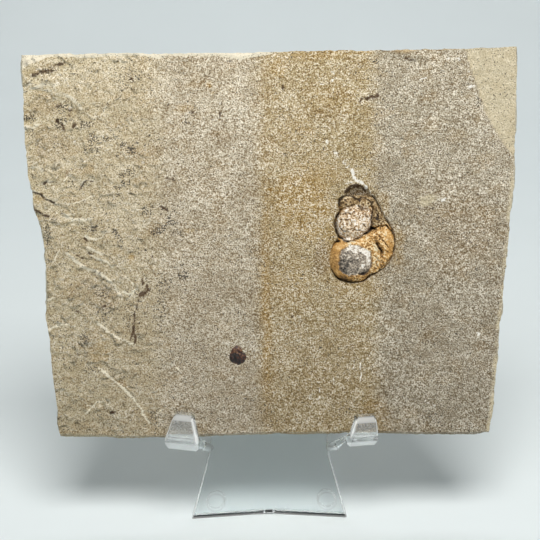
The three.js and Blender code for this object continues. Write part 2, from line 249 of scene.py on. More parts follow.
# One ring round the sheet's section: share of the half width, extra width and depth.
flat = np.linspace(-1, 1, 150)
corner = np.linspace(0, math.pi / 2, 5)[1:]
corner_out = SHEET_ROUNDING * np.sin(corner)
corner_down = SHEET_ROUNDING * (1 - np.cos(corner))
half_share = np.concatenate([flat, np.ones(2 * len(corner))])
half_extra = np.concatenate([0 * flat, corner_out, corner_out[::-1]])
half_depth = np.concatenate([0 * flat, corner_down, SHEET - corner_down[::-1]])
ring_share = np.concatenate([half_share, -half_share])
ring_extra = np.concatenate([half_extra, -half_extra])
through = np.concatenate([half_depth, SHEET - half_depth]) / SHEET

outer_side, inner_side = sheet_side(0.0), sheet_side(SHEET)
stations = len(outer_side)
sheet_points = []
for k, (outer, inner) in enumerate(zip(outer_side, inner_side)):
    y, z = outer[:, None] + through * (inner - outer)[:, None]
    x = ring_share * (np.interp(z, *HALF_WIDTHS) - SHEET_ROUNDING) + ring_extra
    if k < stations // 2:
        y = y - PIN_RELIEF * pin_rings(x, z) * (through < 0.01)
    if k == 0:
        z = z + FOOT_ARCH * np.exp(-((x / FOOT_ARCH_HALF) ** 4))
    sheet_points.append(np.stack([x, y - bow(x) + SHEET_SHIFT, z], 1))
sheet_points = np.concatenate(sheet_points)
ring_count, half_ring, flats = len(ring_share), len(half_share), len(flat)
sheet_faces = [f[::-1] for f in strips(stations, ring_count, closed=True)]
# Its two ends: strips from the outer to the inner face, and a cap over each rounded edge.
for first, way in ((0, 1), ((stations - 1) * ring_count, -1)):
    for i in range(flats - 1):
        far = first + half_ring + flats - 1 - i
        sheet_faces.append((first + i, first + i + 1, far - 1, far)[::way])
    right = range(first + flats - 1, first + half_ring + 1)
    left = [*range(first + half_ring + flats - 1, first + ring_count), first]
    sheet_faces += [tuple(right)[::way], tuple(left)[::way]]

# Clear polystyrene, moulded: glass-clear with a high index and faint flow waves in its gloss, and whitish
# where it has frosting or painted highlight for glare. A little whitening only whitens it, and more also
# dulls its gloss.
clear, clear_shader, clear_mm = new_material("clear_polystyrene")
flow = node(clear, "TexNoise", {"Vector": clear_mm, "Scale": 1 / 7.0, "Detail": 1.0})
flow_bump = node(clear, "Bump", {"Height": flow, "Strength": 0.25, "Distance": 0.0004})
haze = node(clear, "TexNoise", {"Vector": clear_mm, "Scale": 1 / 1.6, "Detail": 4.0})
haze_range = {"From Min": 0.4, "From Max": 0.8, "To Min": 0.01, "To Max": 0.07}
hazy = node(clear, "MapRange", {"Value": haze, **haze_range})
frosted = node(clear, "Attribute", {}, "Fac", attribute_name="frost")
frosted_twice = node(clear, "Math", {0: frosted, 1: frosted}, operation="MULTIPLY")
dulled = node(clear, "Math", {0: frosted_twice, 1: 0.35, 2: hazy}, operation="MULTIPLY_ADD")
see_through = node(clear, "Math", {0: frosted, 1: -0.8, 2: 1.0}, operation="MULTIPLY_ADD")
tint = node(clear, "VolumeAbsorption", {"Color": linear("#cfe4e4"), "Density": 14.0})
clear_shader.inputs["Transmission Weight"].default_value = 1.0  # where nothing is frosted
clear_looks = {"Base Color": linear("#fbfdfd"), "IOR": 1.59, "Normal": flow_bump}
connect(clear, clear_shader, {"Roughness": dulled, "Transmission Weight": see_through, **clear_looks})
connect(clear, clear.node_tree.nodes["Material Output"], {"Volume": tint})

# Each arm stands out square from the sheet, from its foot. Its plan gives its two sides at reaches
# out from the sheet, and its lip its two sides at heights up the sheet. It holds the slab at its
# rest, and it is splayed sideways, in degrees, and tilted a little, in millimetres per millimetre.
ARM = 2.4  # thickness of the arms
ARM_BEND = ARM + 1.0
NECK_TOP = 23.5
NECK_REACH = 8
LIP_SIDE_BEVEL = 0.9
LIP_TOP_BEVEL = 3.0
LIP_EDGE = 1.2
LIP_TURN = (-9.5, -7.5)  # where the arm becomes the lip, back from the lip's top
BELLY = 0.8  # how much thicker the bend under each lip is
BELLY_RISE, BELLY_FALL = (-17, -13), (-9.5, -6)  # where it swells and ends, back from the lip's top
TILT_FROM = (10.0, 14.0)  # the reaches between which the tilt sets in
ARMS = {
    "left": {
        "foot": (-23.0, -0.3),
        "splay": -18.0,
        "reach": 16.9,
        "rest": 26.2,
        "top": 35.6,
        "plan_left": ((-1.5, 0.3, 3, 5, 9, 20), (1.2, 2.0, 0.8, -3.0, -6.3, -6.3)),
        "plan_right": ((-1.5, 2.2, 4.6, 9, 13, 16), (5.2, 5.2, 2.4, 3.7, 5.1, 6.3)),
        "lip_left": ((24.2, 35.3), (-6.3, -2.2)),
        "lip_right": ((24.2, 34.5), (6.6, 4.3)),
        "tilt": -0.06,
    },
    "right": {
        "foot": (26.8, 0.0),
        "splay": 14.0,
        "reach": 16.2,
        "rest": 27.1,
        "top": 34.4,
        "plan_left": ((-1.5, 2.2, 4.6, 9, 13, 16), (-8.6, -8.3, -3.2, -4.2, -5.2, -6.3)),
        "plan_right": ((-1.5, -1, 4, 9, 20), (-6.5, -6.2, -2.5, 5.1, 5.1)),
        "lip_left": ((24.4, 33.9), (-6.2, -2.7)),
        "lip_right": ((24.4, 34.5), (5.1, 3.9)),
        "tilt": 0.03,
    },
}
TO_LEANING = Matrix.Rotation(math.pi / 2 - LEAN, 4, "X")


def arm_path(facts):
    """The middle line of an arm and its lip, as (reach, height), and the distance along it."""
    middle = facts["reach"] - ARM / 2
    level = facts["rest"] - ARM / 2
    bend = middle - ARM_BEND
    line = [(0.6, NECK_TOP - ARM / 2), (1.7, NECK_TOP - ARM / 2), (4.8, level), (bend, level)]
    for turn in np.radians(np.linspace(-90, 0, 9)[1:-1]):
        line.append((bend + ARM_BEND * math.cos(turn), level + ARM_BEND * (1 + math.sin(turn))))
    line = np.array([*line, (middle, level + ARM_BEND), (middle, facts["top"])])
    steps = np.concatenate([[0], np.cumsum(np.hypot(*np.diff(line, axis=0).T))])
    along = np.linspace(0, steps[-1], 90)
    path = np.stack([np.interp(along, steps, line[:, k]) for k in (0, 1)], 1)
    ends = path[[0, -1]].copy()
    for _ in range(6):
        path[1:-1] = (path[:-2] + 2 * path[1:-1] + path[2:]) / 4
    path[[0, -1]] = ends
    return path, along


def arm_shell(facts):
    """Points and faces of one arm and its lip, and the matrix that stands them up on the sheet."""
    path, along = arm_path(facts)
    direction = np.gradient(path, axis=0)
    direction /= np.hypot(*direction.T)[:, None]
    outward = np.stack([direction[:, 1], -direction[:, 0]], 1)  # to the under and outer face
    from_top = along - along[-1]
    on_lip = smooth(from_top, *LIP_TURN)
    thinned = smooth(from_top, -LIP_TOP_BEVEL, 0)
    bend_share = smooth(from_top, *BELLY_RISE) * (1 - smooth(from_top, *BELLY_FALL))
    points = []
    for k, (reach, height) in enumerate(path):
        left = np.interp(reach, *facts["plan_left"])
        right = np.interp(reach, *facts["plan_right"])
        if height >= NECK_TOP or reach >= NECK_REACH:
            left = max(left, np.interp(height, *facts["lip_left"]))
            right = min(right, np.interp(height, *facts["lip_right"]))
        outer = ARM / 2 - (ARM - LIP_EDGE) * thinned[k] + BELLY * bend_share[k]
        drop = min(0.8 + 0.2 * on_lip[k], outer + ARM / 2 - 0.3)
        soft = 0.7 - 0.5 * on_lip[k]
        half_section = (
            (0, outer - drop),
            (LIP_SIDE_BEVEL * 0.5, outer - drop * 0.45),
            (LIP_SIDE_BEVEL, outer),
            (LIP_SIDE_BEVEL + 0.2, outer),
        )
        section = [(left + side, out) for side, out in half_section]
        section += [(right - side, out) for side, out in half_section[::-1]]
        section += [(right, -ARM / 2 + soft), (right - soft, -ARM / 2)]
        section += [(left + soft, -ARM / 2), (left, -ARM / 2 + soft)]
        for across, out in section:
            far, high = path[k] + out * outward[k]
            points.append((across, high + facts["tilt"] * across * smooth(far, *TILT_FROM), far))
    count = len(section)
    faces = strips(len(path), count, closed=True)
    faces.append(tuple(range(count))[::-1])
    faces.append(tuple(range((len(path) - 1) * count, len(path) * count)))
    turned = Matrix.Rotation(math.radians(facts["splay"]), 4, "Y")
    foot = Matrix.Translation((facts["foot"][0], 0, facts["foot"][1]))
    whole = Matrix.Translation((0, SHEET_SHIFT, 0)) @ TO_LEANING @ foot @ turned
    stood = np.array(points) @ np.array(whole.to_3x3()).T + np.array(whole.translation)
    return stood, faces, whole


def marked(piece, **amounts):
    """Stores an amount from 0 to 1 at each point of a piece, for its material."""
    for name, values in amounts.items():
        stored = piece.data.attributes.new(name, "FLOAT", "POINT")
        stored.data.foreach_set("value", np.clip(values, 0, 1).astype(np.float32))


easel_sheet = mesh_piece("display_easel_sheet", sheet_points, sheet_faces, clear)
arm_shells = {side: arm_shell(facts) for side, facts in ARMS.items()}
arm_objects = [mesh_piece("arm_" + side, *shell[:2], clear) for side, shell in arm_shells.items()]
for arm_object in arm_objects:
    join = easel_sheet.modifiers.new(arm_object.name, "BOOLEAN")
    join.operation = "UNION"
    join.solver = "EXACT"
    join.object = arm_object
solved = easel_sheet.evaluated_get(bpy.context.evaluated_depsgraph_get())
easel_mesh = bpy.data.meshes.new_from_object(solved)
easel_mesh.shade_smooth()
easel_mesh.set_sharp_from_angle(angle=math.radians(EASEL_SHARP))

# Where the moulding is whitened: its pin rings carry frosting from the mould, its arms a faint haze and its
# lip tops more. Its side edges, feet and lip rims are whitened as painted highlight for the glare of
# rounded plastic. The bend under each lip is the whitest, a painted glare band, and the lip's outer face is
# nearly clear inside its rim, whitened a little as painted light on the stone behind it.
FROST_AND_GLARE = {"edge": 0.55, "foot": 0.4, "ring": 0.3, "arm": 0.1, "bend": 1.1, "lip_top": 0.6, "lip": 0.28}
spots = np.zeros(len(easel_mesh.vertices) * 3)
easel_mesh.vertices.foreach_get("co", spots)
easel_x, easel_y, easel_z = spots.reshape(-1, 3).T / MM
edge_gap = np.interp(easel_z, *HALF_WIDTHS) - np.abs(easel_x)
# Painted highlight: the side edges and the feet are whitened for the glare along them.
frost = FROST_AND_GLARE["edge"] * (1 - smooth(edge_gap, 0.2, 0.6)) * (easel_z < 70)
frost = np.maximum(frost, FROST_AND_GLARE["foot"] * (1 - smooth(easel_z, 0.2, 0.9)))
frost = np.maximum(frost, FROST_AND_GLARE["ring"] * pin_rings(easel_x, easel_z) * (easel_y < 12))
easel_places = np.stack([easel_x, easel_y, easel_z, np.ones(len(easel_x))], 1)
for side, facts in ARMS.items():
    to_arm = np.array(arm_shells[side][2].inverted())
    across, up, reach = (easel_places @ to_arm.T)[:, :3].T
    up = up - facts["tilt"] * across * smooth(reach, *TILT_FROM)
    near = (reach > 0.8) & (reach < 25) & (up > 19) & (up < 38) & (np.abs(across) < 12)
    from_reach, from_top = reach - facts["reach"], up - facts["top"]
    on_lip = near * smooth(from_reach, -5, -3) * smooth(up, 21, 22)
    from_left = across - np.interp(up, *facts["lip_left"])
    from_right = np.interp(up, *facts["lip_right"]) - across
    # Painted highlight along each lip's rim and a painted glare band in the bend under it; the lip's face
    # is whitened a little as painted light on the stone behind it.
    rim = 1 - smooth(np.minimum(from_left, from_right), LIP_SIDE_BEVEL * 0.6, LIP_SIDE_BEVEL + 0.15)
    top_band = smooth(from_top, -LIP_TOP_BEVEL, 0.5 - LIP_TOP_BEVEL)
    bend_glare_band = smooth(from_reach, -4.5, -3) * (1 - smooth(up, 25.2, 26.4))
    lip_face = np.maximum(np.maximum(rim, FROST_AND_GLARE["lip_top"] * top_band), FROST_AND_GLARE["lip"])
    lip_frost = np.maximum(FROST_AND_GLARE["bend"] * bend_glare_band, smooth(from_reach, -1.3, -0.7) * lip_face)
    frost = np.where(near, np.maximum(on_lip * lip_frost, FROST_AND_GLARE["arm"] * (1 - on_lip)), frost)
easel = bpy.data.objects.new("clear_easel", easel_mesh)
bpy.context.scene.collection.objects.link(easel)
marked(easel, frost=frost)
for spare in [easel_sheet, *arm_objects]:
    bpy.data.objects.remove(spare)
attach(easel, "root")
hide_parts("display_easel")

# ---- Limestone slab ----------------------------------------------------------------------------
# One slab of fine lake limestone, split along its bedding and broken along its four edges. It
# rests on the easel's arms and leans on its sheet. Iron has stained it in upright bands.

# Places on the slab are (x, y) in its own plane: y runs up its face from its resting edge. Each of
# its edges is a list of places along it and a list of where it lies there.
SLAB_THICKNESS = 9.3
SLAB_REST = 26.5  # up the sheet from its foot to the slab's resting edge
SLAB_OFF_SHEET = 2.2
SLAB_SHARP = 50.0  # degrees
LEFT_EDGE = (
    (0.8, 4.2, 9.8, 19, 30.6, 40.7, 45, 54.3, 62.8, 68.3, 74.5, 79.4, 85.3, 96.3, 110.3, 121.7, 124.9),
    (-67.2, -68, -68.2, -69.4, -70.4, -71.9, -71.5, -71.5, -72.2, -73.3, -75.2, -75.8, -77, -78,
     -78.2, -78.8, -78.9),
)
RIGHT_EDGE = (
    (1, 6, 16.3, 25.4, 31, 42.3, 53, 64, 73.8, 81, 89, 103.4, 120.3, 125.4),
    (71.2, 72.3, 73.2, 74.1, 74.5, 75.9, 77, 78.1, 79, 79.9, 80.3, 81.1, 81.4, 81.5),
)
BOTTOM_EDGE = (
    (-67.4, -54, -48.3, -35.3, -21, 0.4, 14.4, 25, 36.8, 48, 66.4, 72),
    (0.8, 0.5, 0, 0.1, 0.3, 0.9, 0.8, 1, 1, 0.4, 0.3, 1),
)
TOP_EDGE = (
    (-79.5, -72, -55, -20, 1.5, 32.7, 81.6),
    (124.7, 124.6, 124.3, 124.3, 124.3, 124.5, 125.2),
)
# How wide the worn bevel along the top is: places along the slab, and millimetres.
BEVEL = (
    (-79, -76, -71, -69, -66, -63, -55, -52, -47, -42, -37, -34, -31, -24, -19, -16, -12, -8, -5, 0, 3, 11,
     28, 32, 36, 42, 48, 51, 56, 60, 64, 68, 82),
    (6, 3.9, 2, 1.2, 1, 1.6, 1.6, 1.1, 0.9, 0.7, 1.8, 1.8, 1.1, 1.2, 1.3, 1.1, 1.8, 2.9, 1.9, 1.2, 0.5,
     0.3, 0.6, 1.3, 0.6, 1.3, 1.4, 0.4, 0.9, 1.3, 1.3, 0.4, 0.4),
)
# How far the rims of the face and of the back are drawn in on each side.
FRONT_INSET = {"top": 1.0, "bottom": 1.3, "side": 0.7}
BACK_INSET = {"top": 0.8, "bottom": 0.0, "side": 0.8}


def scatter(i, j, seed):
    """A repeatable number from -1 to 1 for each cell of a lattice."""
    h = i.astype(np.int64) * 374761393 + j.astype(np.int64) * 668265263 + seed * 1274126177
    h &= 0xFFFFFFFF
    h = ((h ^ (h >> 13)) * 1103515245) & 0xFFFFFFFF
    h = ((h ^ (h >> 16)) * 2654435761) & 0xFFFFFFFF
    return (h & 0xFFFFFF) / 0x7FFFFF - 1.0


def grain(x, y, size, seed=0, octaves=1):
    """Smooth noise between -1 and 1 with lumps of a size in millimetres."""
    total, weight, reach = 0.0, 1.0, 0.0
    x, y = np.broadcast_arrays(np.asarray(x, float), np.asarray(y, float))
    for octave in range(octaves):
        u, v = x / size, y / size
        i, j = np.floor(u), np.floor(v)
        fu, fv = u - i, v - j
        fu, fv = fu * fu * (3 - 2 * fu), fv * fv * (3 - 2 * fv)
        s = seed + 17 * octave
        low = scatter(i, j, s) * (1 - fu) + scatter(i + 1, j, s) * fu
        high = scatter(i, j + 1, s) * (1 - fu) + scatter(i + 1, j + 1, s) * fu
        total = total + weight * (low * (1 - fv) + high * fv)
        reach += weight
        weight *= 0.55
        size /= 2.03
    return total / reach


def beside(x, y, line):
    """Distance to a broken line, and which side of it a point is on: 1 left of its direction."""
    best = np.full(np.shape(x), 1e9)
    side = np.zeros(np.shape(x))
    for (ax, ay), (bx, by) in zip(line[:-1], line[1:]):
        dx, dy = bx - ax, by - ay
        t = np.clip(((x - ax) * dx + (y - ay) * dy) / (dx * dx + dy * dy), 0, 1)
        gap = np.hypot(x - ax - t * dx, y - ay - t * dy)
        closer = gap < best
        best = np.where(closer, gap, best)
        side = np.where(closer, np.sign(dx * (y - ay) - dy * (x - ax)), side)
    return best, side


SNAIL_MIDDLE = (29.3, 63.5)
SNAIL_OUTLINE = (
    (28.5, 49.6), (26, 49.8), (24.3, 50.1), (22.7, 50.8), (21.7, 51.7), (20.9, 52.9), (20.2, 54),
    (19.9, 56), (19.9, 58), (20.3, 60), (20.9, 61.5), (21.7, 62.8), (22.6, 63.5), (22.5, 64.8),
    (21.7, 66.5), (21.4, 69), (22, 71.2), (23.4, 73.2), (22.9, 75), (22.9, 76.3), (24, 77.4), (26, 78.1),
    (28.5, 77.9), (31.5, 77.8), (34.2, 77.8), (35.8, 75.2), (36.9, 72.6), (38.4, 70.1), (39.8, 68.2),
    (40.6, 66.6), (41, 64.8), (41.2, 63), (41.2, 61), (40.7, 59.4), (40.2, 57.7), (39.3, 56.2),
    (37.8, 54.5), (36.5, 53.5), (35.1, 52.6), (33.5, 51.8), (32.4, 50.8), (30.6, 49.8),
)
outline = np.array(SNAIL_OUTLINE) - SNAIL_MIDDLE
outline_angle = np.arctan2(outline[:, 1], outline[:, 0])
fine_angle = np.linspace(-math.pi, math.pi, 720, endpoint=False)
fine_radius = np.interp(fine_angle, outline_angle, np.hypot(*outline.T), period=2 * math.pi)
for _ in range(14):
    fine_radius = (np.roll(fine_radius, 1) + 2 * fine_radius + np.roll(fine_radius, -1)) / 4


def outside_snail(x, y):
    """Distance outside the snail's outline, along the ray from its middle; negative inside."""
    dx, dy = x - SNAIL_MIDDLE[0], y - SNAIL_MIDDLE[1]
    edge = np.interp(np.arctan2(dy, dx), fine_angle, fine_radius, period=2 * math.pi)
    return np.hypot(dx, dy) - edge


# The upper right corner's layers are gone beyond this line.
CORNER_LEDGE = (
    (64.3, 126), (64.5, 121.8), (66.5, 116), (68.3, 110.5), (70.3, 104), (73, 98.5), (77, 92.3), (83, 85),
)
CORNER_DEPTH = 1.2
CORNER_FROM = 63  # x where the line begins to count
# Corners and edges that broke off at a slant: a line, and how steeply it falls away beyond.
SLANTS = (
    (((-66, 124.6), (-67.5, 122.8), (-70, 122.5), (-73, 121.3), (-76, 119.8), (-80, 118.4)), 0.75),
    (((-76, 76.2), (-74, 74), (-72.3, 72.6), (-70, 71.8), (-69.6, 66), (-69.2, 63), (-72, 58.5)), 0.55),
)
# Broken edges of thin layers: a line, how high its lip stands, the lip's width, and how far the
# face drops on the right of the line's direction.
FLAKE_LIPS = (
    (((-76.6, 113.4), (-74.5, 112.6), (-71, 112.7), (-68.5, 111.9), (-66.5, 110.8), (-64.5, 110.5),
     (-62.5, 109.7), (-61.2, 108.2), (-59, 106)), 0.3, 0.6, 0.4),
    (((-76, 114.6), (-73, 113.4), (-70.5, 114.2), (-68.5, 113.8), (-66.5, 114.3)), 0.2, 0.5, 0.12),
    (((-77.6, 100.3), (-75, 100.2), (-73.6, 100.7), (-72.5, 101.8)), 0.3, 0.45, 0.25),
    (((-75.3, 80), (-72.5, 79.2), (-70.5, 77.5), (-68.5, 76.6), (-66.8, 75.6)), 0.15, 0.5, 0.6),
    (((-65, 72.8), (-63.5, 71.9), (-62.3, 70.5), (-60.5, 70.6), (-58, 70.3), (-56, 70.8)), 0.25, 0.5, 0.25),
    (((-58.4, 65.3), (-57.2, 64.5), (-55.6, 64.2), (-54.6, 64.4)), 0.4, 0.45, 0.2),
    (((-57.6, 61.9), (-55, 60.3), (-53.4, 59.5)), 0.3, 0.6, 0.2),
    (((-64.4, 60.3), (-62.5, 58.5), (-61, 57.3), (-59.5, 56), (-57, 54.8), (-54.8, 54), (-53, 52.8),
     (-50.5, 51), (-49, 49.5), (-47.4, 46.3)), 0.5, 0.75, 0.35),
    (((-57.8, 60), (-55, 58.3), (-51, 57), (-50, 55.4)), 0.25, 0.6, 0.15),
    (((-46.2, 47.4), (-44, 46.4), (-42, 48)), 0.25, 0.5, 0.15),
    (((-54.6, 37.5), (-52, 35.5), (-50, 33.9), (-47.5, 32.5), (-45.2, 31.4), (-43.2, 30.7)), 0.5, 0.5,
     0.15),
    (((-54.2, 23.4), (-51.5, 21), (-49, 18.8), (-46.5, 16.3), (-44.5, 14.7), (-43, 13.2), (-42.3, 11.8),
     (-41, 10), (-39.5, 7.5), (-38, 5.5)), 0.5, 0.5, 0.15),
    (((-75.2, 87.4), (-73, 87.2), (-71.4, 86.7)), 0.2, 0.4, 0.15),
    (((-62.8, 85.2), (-64.2, 84), (-64.9, 83.2)), 0.2, 0.5, 0.2),
    (((-72.2, 82.3), (-70.5, 83.1), (-68.4, 83)), 0.15, 0.5, 0.3),
    (((-60, 80.6), (-58.5, 83), (-57, 83.5), (-55.4, 83)), 0.12, 0.4, 0.15),
    (((-46.5, 92.2), (-44.6, 90.6), (-42.6, 90.9)), 0.12, 0.5, 0.12),
    (((-70.5, 35.2), (-66.5, 37.4), (-62, 36.6)), 0.15, 0.6, 0.15),
    (((-58.6, 8.6), (-55, 12), (-50.8, 12.6)), 0.15, 0.5, 0.1),
    (((-31.8, 24.4), (-28.5, 22.2), (-26.8, 22.6)), 0.15, 0.5, 0.1),
    (((42.3, 122.2), (45, 121.9), (48.6, 121.2), (50, 123)), 0.1, 0.5, 0.5),
)
# Broad shallow hollows where several layers are gone: middle, half size and depth.
HOLLOWS = (
    ((-70, 98), (12.5, 14), 0.45), ((-61, 66), (6.5, 4.2), 0.3), ((-54, 45.5), (5, 5), 0.25),
    ((-66, 25), (9, 12), 0.3), ((-44, 100), (7, 9), 0.15),
)
BEDDING_TURN = math.radians(-32)


def reach_from(x, y, middle, half, turn=0.0):
    """How far out a place is from the middle of an ellipse turned by some degrees: 1 on its rim."""
    c, s = math.cos(math.radians(turn)), math.sin(math.radians(turn))
    dx, dy = x - middle[0], y - middle[1]
    return np.hypot((dx * c + dy * s) / half[0], (-dx * s + dy * c) / half[1])


def face_height(x, y):
    """How far the split front face lies above or below its mean plane."""
    height = 0.16 * grain(x, y, 13, 1) + 0.08 * grain(x, y, 4.5, 2) + 0.05 * grain(x, y, 1.5, 3, 2)
    # Thin bedding layers broken back in steps, most of them at the left.
    along = x * math.cos(BEDDING_TURN) + y * math.sin(BEDDING_TURN)
    across = -x * math.sin(BEDDING_TURN) + y * math.cos(BEDDING_TURN)
    bend = 3 * grain(along, across, 9, 5, 2)
    layers = 3.4 * grain(along * 0.6 + bend, across + bend, 9, 6, 4)
    stepped = np.floor(layers) + smooth(layers - np.floor(layers), 0.0, 0.14)
    flaky = 1 - smooth(x + 3 * grain(x, y, 12, 8), -48, -26)
    height = height + (0.07 + 0.17 * flaky) * stepped
    height = height + 0.09 * flaky * grain(along * 0.5, across, 1.4, 9, 2)
    ragged_x, ragged_y = x + 0.3 * grain(x, y, 2.0, 11), y + 0.3 * grain(x, y, 2.0, 12)
    for line, high, wide, drop in FLAKE_LIPS:
        gap, side = beside(ragged_x, ragged_y, line)
        lip = np.exp(-((gap / wide) ** 2)) * (0.8 + 0.5 * grain(x, y, 2, 13))
        height = height + 0.55 * high * lip - drop * (side < 0) * np.exp(-gap / 3.5)
    for middle, half, depth in HOLLOWS:
        reach = reach_from(x, y, middle, half) + 0.16 * grain(x, y, 5, 14, 3)
        height = height - depth * (1 - smooth(reach, 0.86, 0.97))
    ragged = 0.35 * grain(x, y, 1.6, 15, 2) + 0.5 * grain(x, y, 6, 16)
    past = y - np.interp(x, *zip(*CORNER_LEDGE)) + ragged
    ledge = smooth(past, 0, 0.9) * (x > CORNER_FROM)
    height = height - ledge * (CORNER_DEPTH + 0.2 * grain(x, y, 2.4, 17, 3) + 0.2 * grain(x, y, 7, 18))
    for line, steep in SLANTS:
        gap, side = beside(x, y, line)
        beyond = np.where(side < 0, gap, 0) * (gap < 9)
        height = height - steep * beyond * (1 + 0.25 * grain(x, y, 2.2, 41, 2))
    return height


POCKET_DEPTH = 3.3
HOLLOW_MIDDLE = (29.3, 77.4)
HOLLOW_HALF = (4.1, 3.7)
HOLLOW_DEPTH = 2.6


def pocket(x, y):
    """What the snail's pocket and the hollow above it take off the face."""
    # At its left the shell meets the stone without a gap.
    tight = np.exp(-(((x - 19.5) / 2.6) ** 2) - ((y - 57) / 4.2) ** 2)
    gap = outside_snail(x, y) + 0.12 * grain(x, y, 1.1, 21) + 0.6 * tight
    walls = POCKET_DEPTH * (1 - smooth(gap, -0.8, 0.16))
    hollow_x = (x - HOLLOW_MIDDLE[0]) / HOLLOW_HALF[0]
    hollow_y = (y - HOLLOW_MIDDLE[1]) / HOLLOW_HALF[1]
    reach = hollow_x**2 + hollow_y**2
    hollow = HOLLOW_DEPTH * np.sqrt(np.clip(1 - reach, 0, 1)) + 0.12 * grain(x, y, 1.5, 22)
    dip = 0.3 * np.exp(-((np.clip(gap, 0, 9) / 1.8) ** 2))
    return np.maximum(walls, hollow * (reach < 1)) + dip


def spread(low, high, spacings, count):
    """Places from 0 to 1 along a side, spaced by a list of (place, spacing) in millimetres."""
    fine = np.linspace(low, high, 4000)
    rate = 1 / np.interp(fine, *zip(*spacings))
    reached = np.concatenate([[0], np.cumsum((rate[1:] + rate[:-1]) / 2)])
    reached /= reached[-1]
    return (np.interp(np.linspace(0, 1, count), reached, fine) - low) / (high - low)


ACROSS, UP = 288, 244
# Close together across the snail, and closer at the flaky left than in the flat middle.
ACROSS_SPACING = ((-35, 0.54), (-25, 0.8), (16, 0.8), (19, 0.3), (42, 0.3), (45, 0.8))
UP_SPACING = ((46, 0.66), (49, 0.3), (82, 0.3), (85, 0.66))
share_x = spread(-76, 79, ACROSS_SPACING, ACROSS + 1)
share_y = spread(0, 125, UP_SPACING, UP + 1)


def side_point(a, b, inset, rough, depth):
    """Points of the slab's outline and of the net drawn across it, at a depth from its face."""

    def roughness(along, seed):
        broken = 0.35 * grain(along, depth * 1.3, 5.0, seed, 2)
        return rough * (broken + 0.3 * grain(along, depth, 1.7, seed + 1, 2))

    low_left = (LEFT_EDGE[1][0] + inset["side"], LEFT_EDGE[0][0] + inset["bottom"])
    high_left = (LEFT_EDGE[1][-1] + inset["side"], LEFT_EDGE[0][-1] - inset["top"])
    low_right = (RIGHT_EDGE[1][0] - inset["side"], RIGHT_EDGE[0][0] + inset["bottom"])
    high_right = (RIGHT_EDGE[1][-1] - inset["side"], RIGHT_EDGE[0][-1] - inset["top"])
    low_x = low_left[0] + a * (low_right[0] - low_left[0])
    high_x = high_left[0] + a * (high_right[0] - high_left[0])
    low_y = np.interp(low_x, *BOTTOM_EDGE) + inset["bottom"] + np.abs(roughness(low_x, 31))
    bevel = np.clip(np.interp(high_x, *BEVEL), 0.4, 2.6)
    high_y = np.interp(high_x, *TOP_EDGE) - inset["top"] * bevel + roughness(high_x, 33)
    left_y = low_left[1] + b * (high_left[1] - low_left[1])
    right_y = low_right[1] + b * (high_right[1] - low_right[1])
    left_x = np.interp(left_y, *LEFT_EDGE) + inset["side"] + roughness(left_y, 35)
    right_x = np.interp(right_y, *RIGHT_EDGE) - inset["side"] + roughness(right_y, 37)
    sides = ((low_x, high_x, left_x, right_x), (low_y, high_y, left_y, right_y))
    drawn = []
    for k, (low, high, left, right) in enumerate(sides):
        low_corners = (1 - a) * (1 - b) * low_left[k] + a * (1 - b) * low_right[k]
        high_corners = (1 - a) * b * high_left[k] + a * b * high_right[k]
        between = (1 - b) * low + b * high + (1 - a) * left + a * right
        drawn.append(between - low_corners - high_corners)
    return drawn


def insets(depth):
    """How far each side is drawn in at a depth from the face, 0 at its rim and 1 at the back's."""
    front = {"top": 1 - smooth(depth, -0.25, 0.4), "bottom": 1 - smooth(depth, -0.1, 0.35)}
    front["side"] = 1 - smooth(depth, 0, 0.4)
    back = smooth(depth, 0.6, 1.05)
    return {s: front[s] * FRONT_INSET[s] + back * BACK_INSET[s] for s in FRONT_INSET}


FACE_ROUGHNESS = 0.7
grid_a, grid_b = np.meshgrid(share_x, share_y)
face_x, face_y = side_point(grid_a, grid_b, insets(0.0), FACE_ROUGHNESS, 0.0)
face_z = SLAB_THICKNESS + face_height(face_x, face_y) - pocket(face_x, face_y)
slab_points = [np.stack([face_x.ravel(), face_y.ravel(), face_z.ravel()], 1)]
slab_faces = strips(UP + 1, ACROSS + 1)

# Round the edge: rings of points from the face's rim back to the back's rim.
RINGS = 13
loop = [(i, 0) for i in range(ACROSS)] + [(ACROSS, j) for j in range(UP)]
loop += [(i, UP) for i in range(ACROSS, 0, -1)] + [(0, j) for j in range(UP, 0, -1)]
loop_a = np.array([share_x[i] for i, j in loop])
loop_b = np.array([share_y[j] for i, j in loop])
above = [j * (ACROSS + 1) + i for i, j in loop]
rim_z = face_z.ravel()[above]
next_index = (UP + 1) * (ACROSS + 1)
edge_depth = [np.zeros(next_index)]
for depth in np.linspace(0, 1, RINGS + 1)[1:]:
    rough = FACE_ROUGHNESS + 0.6 * smooth(depth, 0.0, 0.2) - 0.6 * smooth(depth, 0.85, 1.0)
    ring_x, ring_y = side_point(loop_a, loop_b, insets(depth), rough, depth * SLAB_THICKNESS)
    ring_z = rim_z * (1 - depth) + 0.12 * grain(ring_x + ring_y, depth * 20, 2.0, 43) * (1 - depth)
    slab_points.append(np.stack([ring_x, ring_y, ring_z], 1))
    below = [next_index + k for k in range(len(loop))]
    for k in range(len(loop)):
        n = (k + 1) % len(loop)
        slab_faces.append((above[k], below[k], below[n], above[n]))
    edge_depth.append(np.full(len(loop), depth))
    next_index += len(loop)
    above = below

